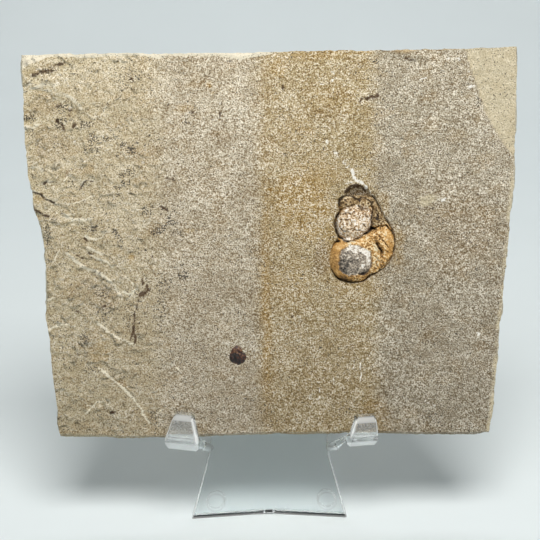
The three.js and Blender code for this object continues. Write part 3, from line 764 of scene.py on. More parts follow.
# The split back, in a net four times as coarse, sewn to the rim by fans.
COARSE = 4
BACK_MIDDLE = (1.0, 62.0)
BACK_SHRINK = 0.992  # so that the fans that sew it on have some width
BACK_SINK = 0.25  # how far in from the rim's plane its middle level lies
back_cols, back_rows = ACROSS // COARSE + 1, UP // COARSE + 1
back_a, back_b = np.meshgrid(share_x[::COARSE], share_y[::COARSE])
back_x, back_y = side_point(back_a, back_b, insets(1.0), FACE_ROUGHNESS, SLAB_THICKNESS)
back_x = BACK_MIDDLE[0] + (back_x - BACK_MIDDLE[0]) * BACK_SHRINK
back_y = BACK_MIDDLE[1] + (back_y - BACK_MIDDLE[1]) * BACK_SHRINK
layers = 2.2 * grain(back_x + 5 * grain(back_x, back_y, 14, 52), back_y, 17, 51, 3)
steps = np.floor(layers) + smooth(layers % 1, 0, 0.2)
back_z = np.clip(BACK_SINK + 0.09 * grain(back_x, back_y, 6, 53, 3) + 0.16 * steps, 0.02, 1.2)
slab_points.append(np.stack([back_x.ravel(), back_y.ravel(), back_z.ravel()], 1))
slab_faces += [(a, d, c, b) for a, b, c, d in strips(back_rows, back_cols, first=next_index)]
coarse_loop = [
    next_index + (j // COARSE) * back_cols + i // COARSE
    for i, j in loop
    if i % COARSE == 0 and j % COARSE == 0
]
half_way = COARSE // 2
for k, this_corner in enumerate(coarse_loop):
    next_corner = coarse_loop[(k + 1) % len(coarse_loop)]
    fine_five = [above[(k * COARSE + s) % len(loop)] for s in range(COARSE + 1)]
    slab_faces.append((this_corner, *fine_five[half_way::-1]))
    slab_faces.append((fine_five[half_way], next_corner, this_corner))
    slab_faces.append((next_corner, *fine_five[: half_way - 1 : -1]))
edge_depth.append(np.full(back_x.size, 1.0))
slab_points = np.concatenate(slab_points)
edge_depth = np.concatenate(edge_depth)


def dab(x, y, place, half, seed, turn=0.0):
    """A soft-edged patch with a ragged outline."""
    reach = reach_from(x, y, place, half, turn)
    return 1 - smooth(reach + 0.35 * grain(x, y, max(half) * 0.5, seed, 3), 0.55, 1.1)


def stroke(x, y, line, wide, seed):
    """A thin ragged line, 1 along its middle."""
    gap, _ = beside(x + 0.35 * grain(x, y, 1.2, seed), y + 0.35 * grain(x, y, 1.2, seed + 1), line)
    return np.exp(-((gap / wide) ** 2))


slab_x, slab_y, slab_z = slab_points.T
on_face = (edge_depth == 0).astype(float)


def patches(table, seeds):
    """The strongest at each point of the slab of several dabs: (place, half size, turn, amount)."""
    dabs = []
    for (place, half, turn, amount), seed in zip(table, seeds):
        dabs.append(amount * dab(slab_x, slab_y, place, half, seed, turn))
    return np.max(dabs, axis=0)


def strokes(lines, widths, seed):
    """The strongest at each point of the slab of several strokes, each ragged in its own way."""
    rows = enumerate(zip(lines, widths))
    return np.max([stroke(slab_x, slab_y, line, wide, seed + k) for k, (line, wide) in rows], axis=0)


# Fresh stone, paler than the weathered face: broken edges, flake lips, thin flakes seen edge-on,
# slanting breaks and the worn top bevel. The back is patchy all over.
fresh = smooth(edge_depth, 0.0, 0.06) * (0.15 + 0.75 * smooth(slab_y, 3, 12))
fresh = fresh * (0.95 + 0.3 * grain(slab_x, slab_y, 1.4, 64, 2))
on_back = 1 - smooth(slab_z, 0.5, 1.6)
fresh = fresh * (1 - on_back) + on_back * (0.36 + 0.5 * grain(slab_x, slab_y, 7.0, 65, 4))
for line, high, wide, _ in FLAKE_LIPS:
    fresh = np.maximum(fresh, stroke(slab_x, slab_y, line, max(0.6, wide), 61) * min(1, 0.75 + high))
PALE_WIDTH = 0.5
PALE_LINES = (
    ((-77, 112.4), (-74.1, 113.1), (-69.3, 114.3), (-66.1, 111.9), (-61.2, 109.5), (-58.8, 106.2)),
    ((-77.4, 101), (-75.3, 100.6), (-73.3, 101.8)), ((-67.7, 73), (-63.6, 71), (-60.4, 70.6), (-56.3, 71)),
    ((-65.6, 75.9), (-62, 75.9), (-58, 77.1), (-55.5, 78.4)),
    ((-53.1, 103), (-50.7, 107.5), (-49.5, 109.4)), ((-51.5, 118.8), (-49.5, 120.5)),
    ((-58, 65.4), (-55.5, 64.1), (-53.1, 64.9), (-51.1, 67)), ((-70.1, 54.4), (-67.7, 59.3), (-66.5, 61.3)),
    ((-70.5, 45.1), (-67.7, 45.7)), ((-46.6, 52.8), (-44.2, 51.2), (-41.8, 48)),
    ((-58.8, 11.6), (-55.5, 10.4), (-51.5, 11.6), (-49.5, 9.5)),
    ((-36.9, 7.5), (-34.5, 9.1), (-29.6, 10.7)),
)
pale_lines = strokes(PALE_LINES, [PALE_WIDTH] * len(PALE_LINES), 400)
fresh = np.maximum(fresh, 0.85 * pale_lines * on_face)
slant_gap, slant_side = beside(slab_x, slab_y, SLANTS[0][0])
slant = on_face * (slant_side < 0) * smooth(slant_gap, 0.1, 0.7) * (slant_gap < 9)
below_top = np.interp(slab_x, *TOP_EDGE) - slab_y
past_bevel = below_top - np.interp(slab_x, *BEVEL) - 0.3 * grain(slab_x, slab_y, 1.6, 62, 2)
worn = on_face * np.maximum(1 - smooth(past_bevel, -0.2, 0.35), np.exp(-((past_bevel / 0.5) ** 2)))
rusty_top = 1 - 0.75 * smooth(slab_x, 2, 12) * (below_top < 5)
fresh = np.maximum(np.maximum(fresh, slant), worn) * rusty_top
fresh = np.clip(fresh + 0.6 * on_face * stroke(slab_x, slab_y, CORNER_LEDGE[:-1], 0.32, 63), 0, 1)

# Smooth pale scars: the corner's ledge, a patch right of the snail and a broken strip along the
# right edge.
scar = smooth(slab_y - np.interp(slab_x, *zip(*CORNER_LEDGE)), 0, 1.0) * (slab_x > CORNER_FROM) * on_face
scar = np.maximum(scar, 0.9 * dab(slab_x, slab_y, (51.2, 75.9), (3.4, 1.9), 66, 25) * on_face)
right_gap = np.interp(slab_y, *RIGHT_EDGE) - slab_x
right_worn = 1 - smooth(right_gap + 0.6 * grain(slab_y, slab_x, 2.5, 67, 2), 1.3, 1.9)
scar = np.maximum(scar, right_worn * (0.75 + 1.1 * grain(slab_x, slab_y, 3.0, 68, 2)) * (slab_y < 110))

# White bruises where a tool or a knock crushed the stone: patches and thin trails.
BRUISES = (
    ((30, 81.9), (1.7, 0.7), -25, 1), ((32, 80.3), (1, 0.6), -50, 1),
    ((28.2, 83), (0.8, 1.3), 10, 1), ((27.6, 85.4), (0.9, 1.1), 30, 1),
    ((25, 88.2), (1.1, 0.7), -30, 1), ((21.9, 91.1), (1, 0.4), 10, 1), ((19.4, 95.1), (0.7, 0.6), 0, 1),
    ((17.5, 113.7), (1.6, 0.35), -14, 1), ((21.4, 114.7), (0.6, 0.7), 0, 1),
    ((21.6, 117.2), (1, 0.5), -30, 1), ((58.6, 121.3), (0.7, 0.9), 0, 1),
    ((61.8, 121.2), (0.8, 0.6), 0, 1), ((50.3, 115), (1.7, 0.5), 8, 1), ((50.8, 111.9), (0.7, 0.5), 0, 1),
    ((44.6, 112.2), (0.6, 0.5), 0, 1), ((65.6, 112.2), (1.6, 0.9), 10, 1),
    ((67.4, 109.7), (0.9, 0.4), 0, 1), ((65.3, 117.4), (0.5, 0.5), 0, 1), ((67.4, 32.9), (1, 0.8), 0, 1),
    ((-37.3, 48.6), (0.9, 0.9), 0, 1), ((-62.6, 106.6), (1.2, 1), -30, 1),
    ((-60.3, 106.2), (1.3, 0.6), -20, 1), ((-39.3, 89.6), (1.2, 1.9), 0, 1),
    ((-49.6, 118.9), (0.8, 1), 0, 1), ((-34.4, 78.3), (1.2, 0.6), 0, 1),
    ((-14.5, 107.4), (0.5, 1.2), 0, 1), ((-61.6, 95.8), (1.3, 1), -40, 1),
    ((-63.8, 84), (1.2, 0.4), 15, 1), ((-45.8, 105), (0.5, 0.5), 0, 1),
    ((56.9, 76.1), (1.4, 0.7), 40, 1),
)
TRAIL_WIDTH = 0.38
WHITE_TRAILS = (
    ((29.2, 24.6), (29.9, 21.8), (29.4, 18.5)), ((12.4, 16.8), (12.9, 15.2)),
    ((16.2, 17.5), (16.6, 14.6), (16.1, 11.9)), ((20.8, 19.6), (21, 17.6)), ((27.6, 23.2), (27.2, 21.6)),
    ((13.6, 14.2), (12.6, 12.4)), ((50, 12), (52.6, 9.8), (55.4, 10.4)), ((-50.2, 107), (-52.6, 103.4)),
    ((-60, 93), (-63.3, 97.2)), ((22.6, 92), (25, 89.6), (26.9, 87), (27.9, 84.2)),
    ((31.4, 81.2), (32.6, 79.7), (33.6, 78.4)), ((21.4, 92.6), (24.6, 88.4), (27, 85.6)),
    ((25.6, 81.4), (28.5, 82.6), (31, 82)),
)
trails = strokes(WHITE_TRAILS, [TRAIL_WIDTH] * len(WHITE_TRAILS), 90)
bruise = np.maximum(patches(BRUISES, range(70, 70 + len(BRUISES))), 0.8 * trails)
bruise = bruise * on_face * (0.8 + 0.25 * grain(slab_x, slab_y, 0.9, 89))
bruise = bruise * (0.55 + 0.45 * smooth(slab_x, -30, -5))

# Yellow and orange iron stain, strongest along one upright line and round the snail.
STRIPE_X = -0.3
STRIPE_WIDTH = 1.6
stripe_gap = slab_x - STRIPE_X + 0.9 * grain(slab_y, 0, 5, 101, 2)
rust = 0.8 * np.exp(-((stripe_gap / STRIPE_WIDTH) ** 2)) * (0.25 + 0.75 * smooth(slab_y, 4, 26))
rust = rust * (0.25 + 0.75 * (1 - smooth(slab_y, 55, 85)))
rust = rust * (0.8 + 0.3 * grain(slab_x, slab_y, 2.5, 102, 2))
RUST_PATCHES = (
    ((12, 74), (11, 13), 0, 0.6), ((8, 50), (7, 10), 0, 0.2), ((16.5, 84), (8, 6), 0, 0.3),
    ((34, 6), (6, 8), 0, 0.3), ((19.5, 62), (3, 13), 0, 0.4), ((30, 47), (11, 4), 0, 0.2),
    ((42, 62), (2.4, 8), 0, 0.35), ((37.6, 75), (2.6, 5), 0, 0.4), ((29.3, 78.5), (3.8, 2.6), 0, 0.8),
    ((-54, 28), (4, 5), 0, 0.35), ((-47, 18.4), (1.6, 1.2), 0, 0.5), ((-26.5, 106), (3.6, 1.4), 0, 0.4),
    ((-43.5, 58.4), (1, 1.5), 0, 0.6), ((-18, 113.4), (1, 1), 0, 0.9),
    ((-25, 67), (2, 1), 0, 0.6), ((4, 119), (3, 4), 0, 0.35), ((1.2, 79.8), (0.8, 0.5), 0, 1),
    ((-73, 77.5), (2, 2), 0, 0.3), ((32, 124), (4, 1.3), 0, 0.55), ((45, 124.5), (5, 1.2), 0, 0.5),
    ((16, 123), (14, 2), 0, 0.35), ((58, 125), (10, 1), 0, 0.5), ((10.5, 99), (7, 5), 0, 0.2),
    ((22, 108), (9, 6), 0, 0.2), ((-17, 111), (0.8, 0.6), 0, 0.7),
)
rust = np.maximum(rust, patches(RUST_PATCHES, [int(100 + x) for (x, _), *_ in RUST_PATCHES]))

# Brown earth staining, in broad patches where layers are gone.
EARTH_PATCHES = (
    ((-68.5, 95), (9, 6.5), -20, 0.38), ((-71, 107.5), (5, 4.5), 0, 0.35),
    ((-53.5, 46), (5.5, 5.5), 0, 0.4), ((-57, 47), (9, 5), -25, 0.25), ((-68, 62), (6, 5), 0, 0.15),
    ((-35, 93), (3.5, 3), 0, 0.45), ((-43, 92), (5, 3.5), -20, 0.4), ((-22, 85), (9, 3), -10, 0.2),
    ((-23, 66), (9, 2.5), 5, 0.25), ((-3, 62), (4, 5), 0, 0.3), ((-8, 82), (6, 2), 0, 0.2),
    ((-15, 97), (3, 4), 60, 0.35), ((-70, 119.2), (5, 1.8), 14, 0.5), ((79.5, 100), (1.5, 5), 0, 0.6),
    ((76, 112), (3.5, 2.2), -20, 0.45), ((36, 88), (6, 9), 0, 0.12), ((62, 68), (18, 17), 0, 0.45),
    ((20, 25), (14, 18), 0, 0.1), ((-47, 18.4), (1.2, 0.9), 0, 0.7), ((29.3, 78.2), (3.9, 2.8), 0, 1),
    ((17.4, 57), (2.8, 7), 0, 0.7), ((-63.8, 85.6), (0.9, 1.2), 0, 1), ((-58, 31), (3.5, 2.5), 0, 0.35),
    ((-36, 68), (5, 2.5), 30, 0.35), ((26, 117), (5, 3), 0, 0.25), ((20, 103), (6, 4), 0, 0.25),
)
umber = patches(EARTH_PATCHES, [int(230 + x) for (x, _), *_ in EARTH_PATCHES])

# Dark organic specks: where they cluster.
SOOT_PATCHES = (
    ((-65.5, 106.5), (2.2, 2), 0, 0.9), ((-66, 101.5), (2.2, 2.6), -40, 0.9),
    ((-57.4, 101.2), (2.6, 1.4), 8, 1), ((-55.4, 97), (2.2, 2.6), 50, 0.9),
    ((-51, 96.4), (1.8, 1.3), 0, 1), ((-56, 93.5), (3.5, 2.2), 0, 0.6),
    ((-45.8, 94.6), (1.4, 1.2), 0, 0.9), ((-43, 92.8), (2.2, 2), 0, 0.9), ((-47.5, 91), (1.4, 0.9), 0, 0.8),
    ((-41.5, 95), (1.4, 1), 0, 0.7), ((-75.6, 103.6), (2.4, 1.6), 0, 1),
    ((-75.2, 99.4), (0.7, 0.6), 0, 1.2), ((-46.2, 84.6), (1, 0.9), 0, 1.2),
    ((-46, 82.2), (1.1, 1.2), 0, 1.2), ((-44.1, 82.4), (0.7, 1), 0, 1.2),
    ((-47.8, 80.8), (1.8, 1.2), 0, 0.8), ((-47.6, 78.6), (1, 0.7), 0, 0.9), ((-44, 86), (2.5, 2), 0, 0.6),
    ((-32.6, 74), (1.5, 0.6), 0, 1.1), ((-31.4, 71.4), (0.9, 1.1), 0, 1),
    ((-30.5, 69.4), (2.6, 1), 0, 1), ((-34, 67.4), (3.4, 1.3), 28, 1),
    ((-36.2, 66.2), (1.1, 1.4), 0, 1.2), ((-28.5, 66), (2.4, 1.2), 0, 0.7),
    ((-27.4, 55.9), (0.9, 0.7), 0, 1.1), ((-26.8, 52.6), (2, 1.9), 20, 1.4),
    ((-36.6, 74.6), (1.1, 0.8), 0, 0.7), ((-38.4, 73), (2.2, 2.2), 0, 0.7),
    ((-48.6, 66.5), (1.1, 1.8), 0, 0.9), ((-47.2, 64), (1.2, 3), 15, 0.8),
    ((-56, 67.8), (3.6, 1.4), 0, 0.6), ((-44, 115.6), (5, 5), 0, 0.45), ((-44.4, 99.8), (0.9, 0.7), 0, 0.9),
    ((-58.8, 32.6), (1.8, 1.6), 0, 0.9), ((-53, 47), (3, 2), 0, 0.7), ((-52.5, 41), (3.5, 3), 0, 0.6),
    ((-56, 22.6), (3, 2), 0, 0.5), ((-70.5, 67), (1.6, 5), 0, 0.75), ((-49.8, 8.8), (1.2, 0.7), 0, 1.2),
    ((-36.5, 7), (3, 3), 0, 0.5), ((-43.5, 40), (4, 9), 0, 0.3), ((-33, 50), (3, 4), 0, 0.5),
    ((-34, 42), (2, 8), 0, 0.45), ((68.2, 107.4), (1.6, 1.8), -60, 0.8),
    ((-25.4, 102), (1.2, 1), -20, 0.8), ((-69.5, 118.6), (2.8, 0.9), 10, 0.8),
    ((-12, 121), (1.2, 0.6), 0, 0.8), ((35.3, 120.4), (1.2, 0.8), 0, 1),
    ((-38.8, 60.8), (0.7, 0.6), 0, 1.2),
)
soot = 0.9 * patches(SOOT_PATCHES, [int(330 - x) for (x, _), *_ in SOOT_PATCHES]) * on_face

# Single brown strands, dots and a root, and two dark lines of painted shadow under a flake lip at the top
# left: a line and its width.
BROWN_LINES = (
    (((-38.3, 49), (-40, 47.5), (-41, 46), (-41.8, 43), (-42.7, 40), (-42.9, 37.5), (-43, 34.6)), 0.56),
    (((-43, 34.6), (-43.6, 33.4), (-44.3, 32)), 0.6), (((-42.7, 34.2), (-42.5, 32.8), (-42.3, 31)), 0.62),
    (((-40.6, 46.2), (-39.2, 46.6), (-38.2, 48.4)), 0.75), (((-38.4, 49.4), (-38.2, 47.2)), 0.6),
    (((-40.3, 46.5), (-39, 47.8), (-37.6, 48.2)), 0.65), (((-40.4, 51.5), (-39.8, 50)), 0.5),
    (((47.9, 74), (50, 73.3), (52.6, 74.3)), 0.3),
    (((30.2, 107.6), (31, 108.5), (33, 109), (34.8, 109.4), (36, 110)), 0.8),
    (((-50.4, 8.6), (-49.2, 9.2)), 0.7), (((-61.4, 41.4), (-60.6, 41)), 0.6),
    (((-53, 42.9), (-52.4, 42.7)), 0.95), (((-36.7, 59.2), (-36.5, 57.9)), 0.55),
    (((5.2, 113.2), (5.6, 111.6)), 0.65), (((6.6, 39.9), (7.9, 38.9), (8.4, 39.2)), 0.5),
    # Painted shadow: these two lines darken the stone under an overhanging flake lip.
    (((-74.6, 117), (-72.5, 118), (-70.5, 118.5), (-68.6, 118.2)), 0.65),
    (((-68, 119.6), (-66.3, 120.5), (-64.3, 121)), 0.65), (((-64.5, 104.7), (-63, 103.9)), 0.7),
    (((-63.3, 105.6), (-62.7, 105.5)), 0.8),
    (((-67.3, 102.7), (-66, 102), (-65.2, 101), (-64.8, 98.8)), 0.62),
    (((-61.9, 100.3), (-61.2, 101.8)), 0.8), (((-67.2, 107.2), (-66.8, 107.4)), 0.65),
    (((-65.6, 107.6), (-65.3, 107.2)), 0.65),
    (((-75.2, 79.6), (-72.6, 78.9), (-70.6, 77.2), (-68.4, 76.2)), 0.62),
    (((-75, 75.7), (-73.6, 73.6), (-72.2, 72.7), (-70.8, 71.9), (-69.8, 71.9)), 0.65),
    (((-72.2, 82), (-70.5, 82.8), (-68.4, 82.7)), 0.5), (((-71.8, 86.8), (-71.2, 86.8)), 0.6),
    (((-59.6, 80.7), (-58.6, 82.8), (-57, 83.3), (-55.4, 82.8)), 0.45),
    (((-58.6, 64.9), (-57.8, 64.1)), 0.55), (((-61.2, 59.4), (-59.3, 58.4)), 0.55),
    (((-57.4, 60), (-56, 59.6)), 0.55), (((45, 121.6), (48.4, 121)), 0.55),
    (((-31.8, 83.8), (-29.6, 83.2)), 0.65), (((-15.4, 105.6), (-14.4, 103.2), (-13.8, 101.8)), 0.55),
    (((-43.2, 115.6), (-42.8, 115.4)), 0.65), (((-24.2, 105), (-23.6, 104.8)), 0.6),
    (((25.4, 78.4), (26, 79.8), (27.3, 80.8), (29.2, 81), (30.7, 80.5), (31.8, 79.3)), 0.5),
    (((25.6, 79), (27, 80.2), (29.2, 80.4)), 0.5), (((-33.8, 74.6), (-32, 73.8)), 0.55),
    (((-32.2, 106.8), (-31, 106.8)), 0.5),
)
brown_lines, brown_widths = zip(*BROWN_LINES)
strand = strokes(brown_lines, brown_widths, 150)
strand = np.clip(strand * (0.85 + 0.3 * grain(slab_x, slab_y, 1.0, 171)), 0, 1) * on_face
# The faint dark ring round the snail: brown staining, and painted shade in the gap round its pocket.
seam = 0.18 * on_face * (1 - smooth(np.abs(outside_snail(slab_x, slab_y) - 0.1), 0.3, 1.2))

# Fine-grained limestone, split and dry: dull, in upright bands of grey-buff and tan, with a dense
# speckle of grains lighter and darker than the mud between them. The real grains are finer, and
# are drawn 0.4 mm across so that they show.
stone, stone_shader, stone_mm = new_material("split_limestone")
along_slab = node(stone, "SeparateXYZ", {"Vector": stone_mm}, "X")
up_slab = node(stone, "SeparateXYZ", {"Vector": stone_mm}, "Y")
wander = node(stone, "TexNoise", {"Vector": stone_mm, "Scale": 1 / 3.5, "Detail": 5.0})
wandered = node(stone, "Math", {0: wander, 1: 6.0, 2: along_slab}, operation="MULTIPLY_ADD")
band_place = node(stone, "MapRange", {"Value": wandered, "From Min": -77.0, "From Max": 85.0})
STONE_BANDS = (
    (0.0, "#baad8d"), (0.26, "#b8aa8c"), (0.31, "#b4a891"), (0.46, "#b2a68f"), (0.505, "#ab9974"),
    (0.60, "#a99770"), (0.695, "#a8966f"), (0.72, "#a49982"), (0.74, "#a29883"), (1.0, "#a49a86"),
)
ground = node(stone, "ValToRGB", {"Fac": band_place}, stops=STONE_BANDS)
for stain, colour in (("rust", "#ab8b4a"), ("umber", "#8f7a58")):
    share = node(stone, "Attribute", {}, "Fac", attribute_name=stain)
    ground = node(stone, "Mix", {0: share, 6: ground, 7: linear(colour)}, 2, data_type="RGBA")


def varied(material, place, size, detail, low, high, offset=0.0):
    """A factor that drifts between two values in patches of a size in millimetres."""
    moved = node(material, "VectorMath", {0: place, 1: (offset,) * 3}, operation="ADD")
    look = {"Scale": 1 / size, "Detail": detail, "Roughness": 0.6}
    cells = node(material, "TexNoise", {"Vector": moved, **look})
    drift = {"From Min": 0.3, "From Max": 0.7, "To Min": low, "To Max": high}
    return node(material, "MapRange", {"Value": cells, **drift}, clamp=False)


# Single grains, flecks, mottles and broad clouds: brown mud between them where the factor is low,
# and pale crystal where it is high. The flaky left third is smoother between its broken edges.
bedding_place = {"Rotation": (0, 0, math.radians(-25)), "Scale": (0.8, 1.1, 1.0)}
bedding = node(stone, "Mapping", {"Vector": stone_mm, **bedding_place})
flaking = node(stone, "Attribute", {}, "Fac", attribute_name="flaky")
grains = varied(stone, stone_mm, 0.42, 1.0, 0.12, 1.88)
flecks = varied(stone, bedding, 1.1, 2.0, 0.72, 1.28, 31.0)
mottles = varied(stone, bedding, 3.4, 3.0, 0.82, 1.18, 57.0)
clouds = varied(stone, stone_mm, 15.0, 3.0, 0.86, 1.14, 83.0)
flecked = node(stone, "Math", {0: grains, 1: flecks}, operation="MULTIPLY")
speckle = node(stone, "Math", {0: flecked, 1: mottles}, operation="MULTIPLY")
smoother = node(stone, "Math", {0: flaking, 1: 0.3}, operation="MULTIPLY")
quieter = node(stone, "Mix", {0: smoother, 2: speckle, 3: 1.12}, data_type="FLOAT")
tone = node(stone, "Math", {0: quieter, 1: clouds}, operation="MULTIPLY")
drifts = varied(stone, bedding, 5.0, 4.0, 0.0, 1.0, 12.0)
browner = node(stone, "MapRange", {"Value": drifts, "From Min": 0.5, "From Max": 1.2, "To Max": 0.5})
stained = node(stone, "Mix", {0: browner, 6: ground, 7: linear("#a08658")}, 2, data_type="RGBA")
mud = node(stone, "VectorMath", {0: stained, 1: (0.36, 0.28, 0.19)}, operation="MULTIPLY")
muddy = node(stone, "MapRange", {"Value": tone, "From Min": 1.0, "From Max": 0.2})
browned = node(stone, "Mix", {0: muddy, 6: stained, 7: mud}, 2, data_type="RGBA")
crystalline = node(stone, "MapRange", {"Value": tone, "From Min": 0.95, "From Max": 2.2, "To Max": 0.86})
paled = node(stone, "Mix", {0: crystalline, 6: browned, 7: linear("#f3ebdb")}, 2, data_type="RGBA")
# Painted light: the stone's colour is scaled from 0.84 at its resting edge to 1.32 at its top, standing for
# the lamp's light falling off down the slab.
painted_falloff_range = {"From Max": 125.0, "To Min": 0.84, "To Max": 1.32}
painted_light_falloff = node(stone, "MapRange", {"Value": up_slab, **painted_falloff_range})
stone_colour = node(stone, "VectorMath", {0: paled, "Scale": painted_light_falloff}, operation="SCALE")
fine = {"Scale": 1 / 0.8, "Detail": 2.0, "Roughness": 0.6}
breakup = node(stone, "TexNoise", {"Vector": bedding, **fine})


def crisp(material, name, breakup, low, high, most=1.0):
    """A stored amount turned to a ragged, sharp-edged share by a fine noise."""
    stored = node(material, "Attribute", {}, "Fac", attribute_name=name)
    level = node(material, "Math", {0: breakup, 1: 0.9, 2: stored}, operation="MULTIPLY_ADD")
    edge = {"From Min": low + 0.45, "From Max": high + 0.45, "To Max": most}
    return node(material, "MapRange", {"Value": level, **edge})


# Over the grain, from the lowest up: smooth scars, thin raised flake edges with pale tops that are partly
# painted highlight, pale fresh breaks, sooty specks, brown strands and painted lip shadows, white bruises
# and the snail's rim with painted shade in its gap.
scarred = node(stone, "Attribute", {}, "Fac", attribute_name="scar")
scar_share = node(stone, "Math", {0: scarred, 1: 0.6}, operation="MULTIPLY")
flakes = {"Scale": 1 / 3.0, "Detail": 3.0, "Roughness": 0.75, "Distortion": 0.4}
ridges = node(stone, "TexNoise", {"Vector": stone_mm, **flakes}, noise_type="RIDGED_MULTIFRACTAL")
ridge_tops = {"From Min": 0.62, "From Max": 0.85, "To Max": 0.75}
ridged = node(stone, "MapRange", {"Value": ridges, **ridge_tops})
ridge_share = node(stone, "Math", {0: ridged, 1: flaking}, operation="MULTIPLY")
speck = node(stone, "TexNoise", {"Vector": stone_mm, "Scale": 1 / 0.45, "Detail": 0.0})
dust = node(stone, "Attribute", {}, "Fac", attribute_name="soot")
speck_level = node(stone, "Math", {0: dust, 1: 0.27, 2: speck}, operation="MULTIPLY_ADD")
speck_edge = {"From Min": 0.68, "From Max": 0.76, "To Max": 0.88}
speck_share = node(stone, "MapRange", {"Value": speck_level, **speck_edge})
for share, colour in (
    (scar_share, "#dccfae"),
    # Partly painted highlight: the flaky left's ridge tops are paled as if lit from above.
    (ridge_share, "#ece3cd"),
    (crisp(stone, "fresh", breakup, 0.56, 0.84, 0.9), "#efe6cf"),
    (speck_share, "#45403a"),
    (crisp(stone, "strand", breakup, 0.42, 0.75, 0.9), "#4a3524"),
    (crisp(stone, "bruise", breakup, 0.42, 0.72, 0.96), "#f9f5ec"),
    (crisp(stone, "seam", breakup, 0.3, 0.9), "#75542f"),
):
    over = {0: share, 6: stone_colour, 7: linear(colour)}
    stone_colour = node(stone, "Mix", over, 2, data_type="RGBA")
# Relief too fine for the mesh: single grains everywhere, and the edges of thin flakes at the left.
grain_bump = node(stone, "Bump", {"Height": flecked, "Strength": 0.6, "Distance": 0.00013})
flake_strength = node(stone, "MapRange", {"Value": flaking, "To Min": 0.25, "To Max": 0.9})
flake_relief = {"Height": ridges, "Strength": flake_strength, "Distance": 0.002}
flake_bump = node(stone, "Bump", {"Normal": grain_bump, **flake_relief})
stone_dull = varied(stone, stone_mm, 1.25, 2.0, 0.8, 0.95, 31.0)
stone_looks = {"Specular IOR Level": 0.25, "Roughness": stone_dull, "Normal": flake_bump}
connect(stone, stone_shader, {"Base Color": stone_colour, **stone_looks})

slab = mesh_piece("limestone_slab_piece", slab_points, slab_faces, stone, SLAB_SHARP)

flaky = 1 - smooth(slab_x + 3 * grain(slab_x, slab_y, 12, 8), -48, -22)
marked(slab, fresh=fresh, bruise=bruise, rust=rust, umber=umber, soot=soot)
marked(slab, flaky=flaky, strand=strand, seam=seam, scar=scar)
SLAB_PLACE = (
    Matrix.Translation((0, SHEET_SHIFT * MM, 0))
    @ TO_LEANING
    @ Matrix.Translation((0, SLAB_REST * MM, SLAB_OFF_SHEET * MM))
)
slab.matrix_world = SLAB_PLACE
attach(slab, "root")
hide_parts("limestone_slab")

# ---- Snail --------------------------------------------------------------------------------------
# A lake snail's shell, lying on its side and grown into the stone. Its last whorl has lost its
# crust, which shows the grey filling, and its spire is a pale crystalline cast.

# Each whorl is a mound: its middle, half size, turn, and the heights of its top and foot.
WHORLS = (
    {"at": (27.0, 57.0), "half": (7.5, 7.6), "turn": 0, "top": 11.7, "foot": 7.6},
    {"at": (35.3, 60.2), "half": (6.2, 8.2), "turn": -14, "top": 10.8, "foot": 7.8},
    {"at": (27.9, 69.0), "half": (6.1, 6.0), "turn": 0, "top": 11.3, "foot": 7.4},
    {"at": (25.8, 75.2), "half": (3.1, 2.8), "turn": 0, "top": 10.2, "foot": 7.4},
    {"at": (30.4, 75.2), "half": (3.6, 2.9), "turn": -10, "top": 9.9, "foot": 7.4},
    {"at": (35.8, 71.6), "half": (2.8, 6.4), "turn": 22, "top": 9.5, "foot": 7.8},
)
MERGE = 0.22  # how softly the whorls run into each other
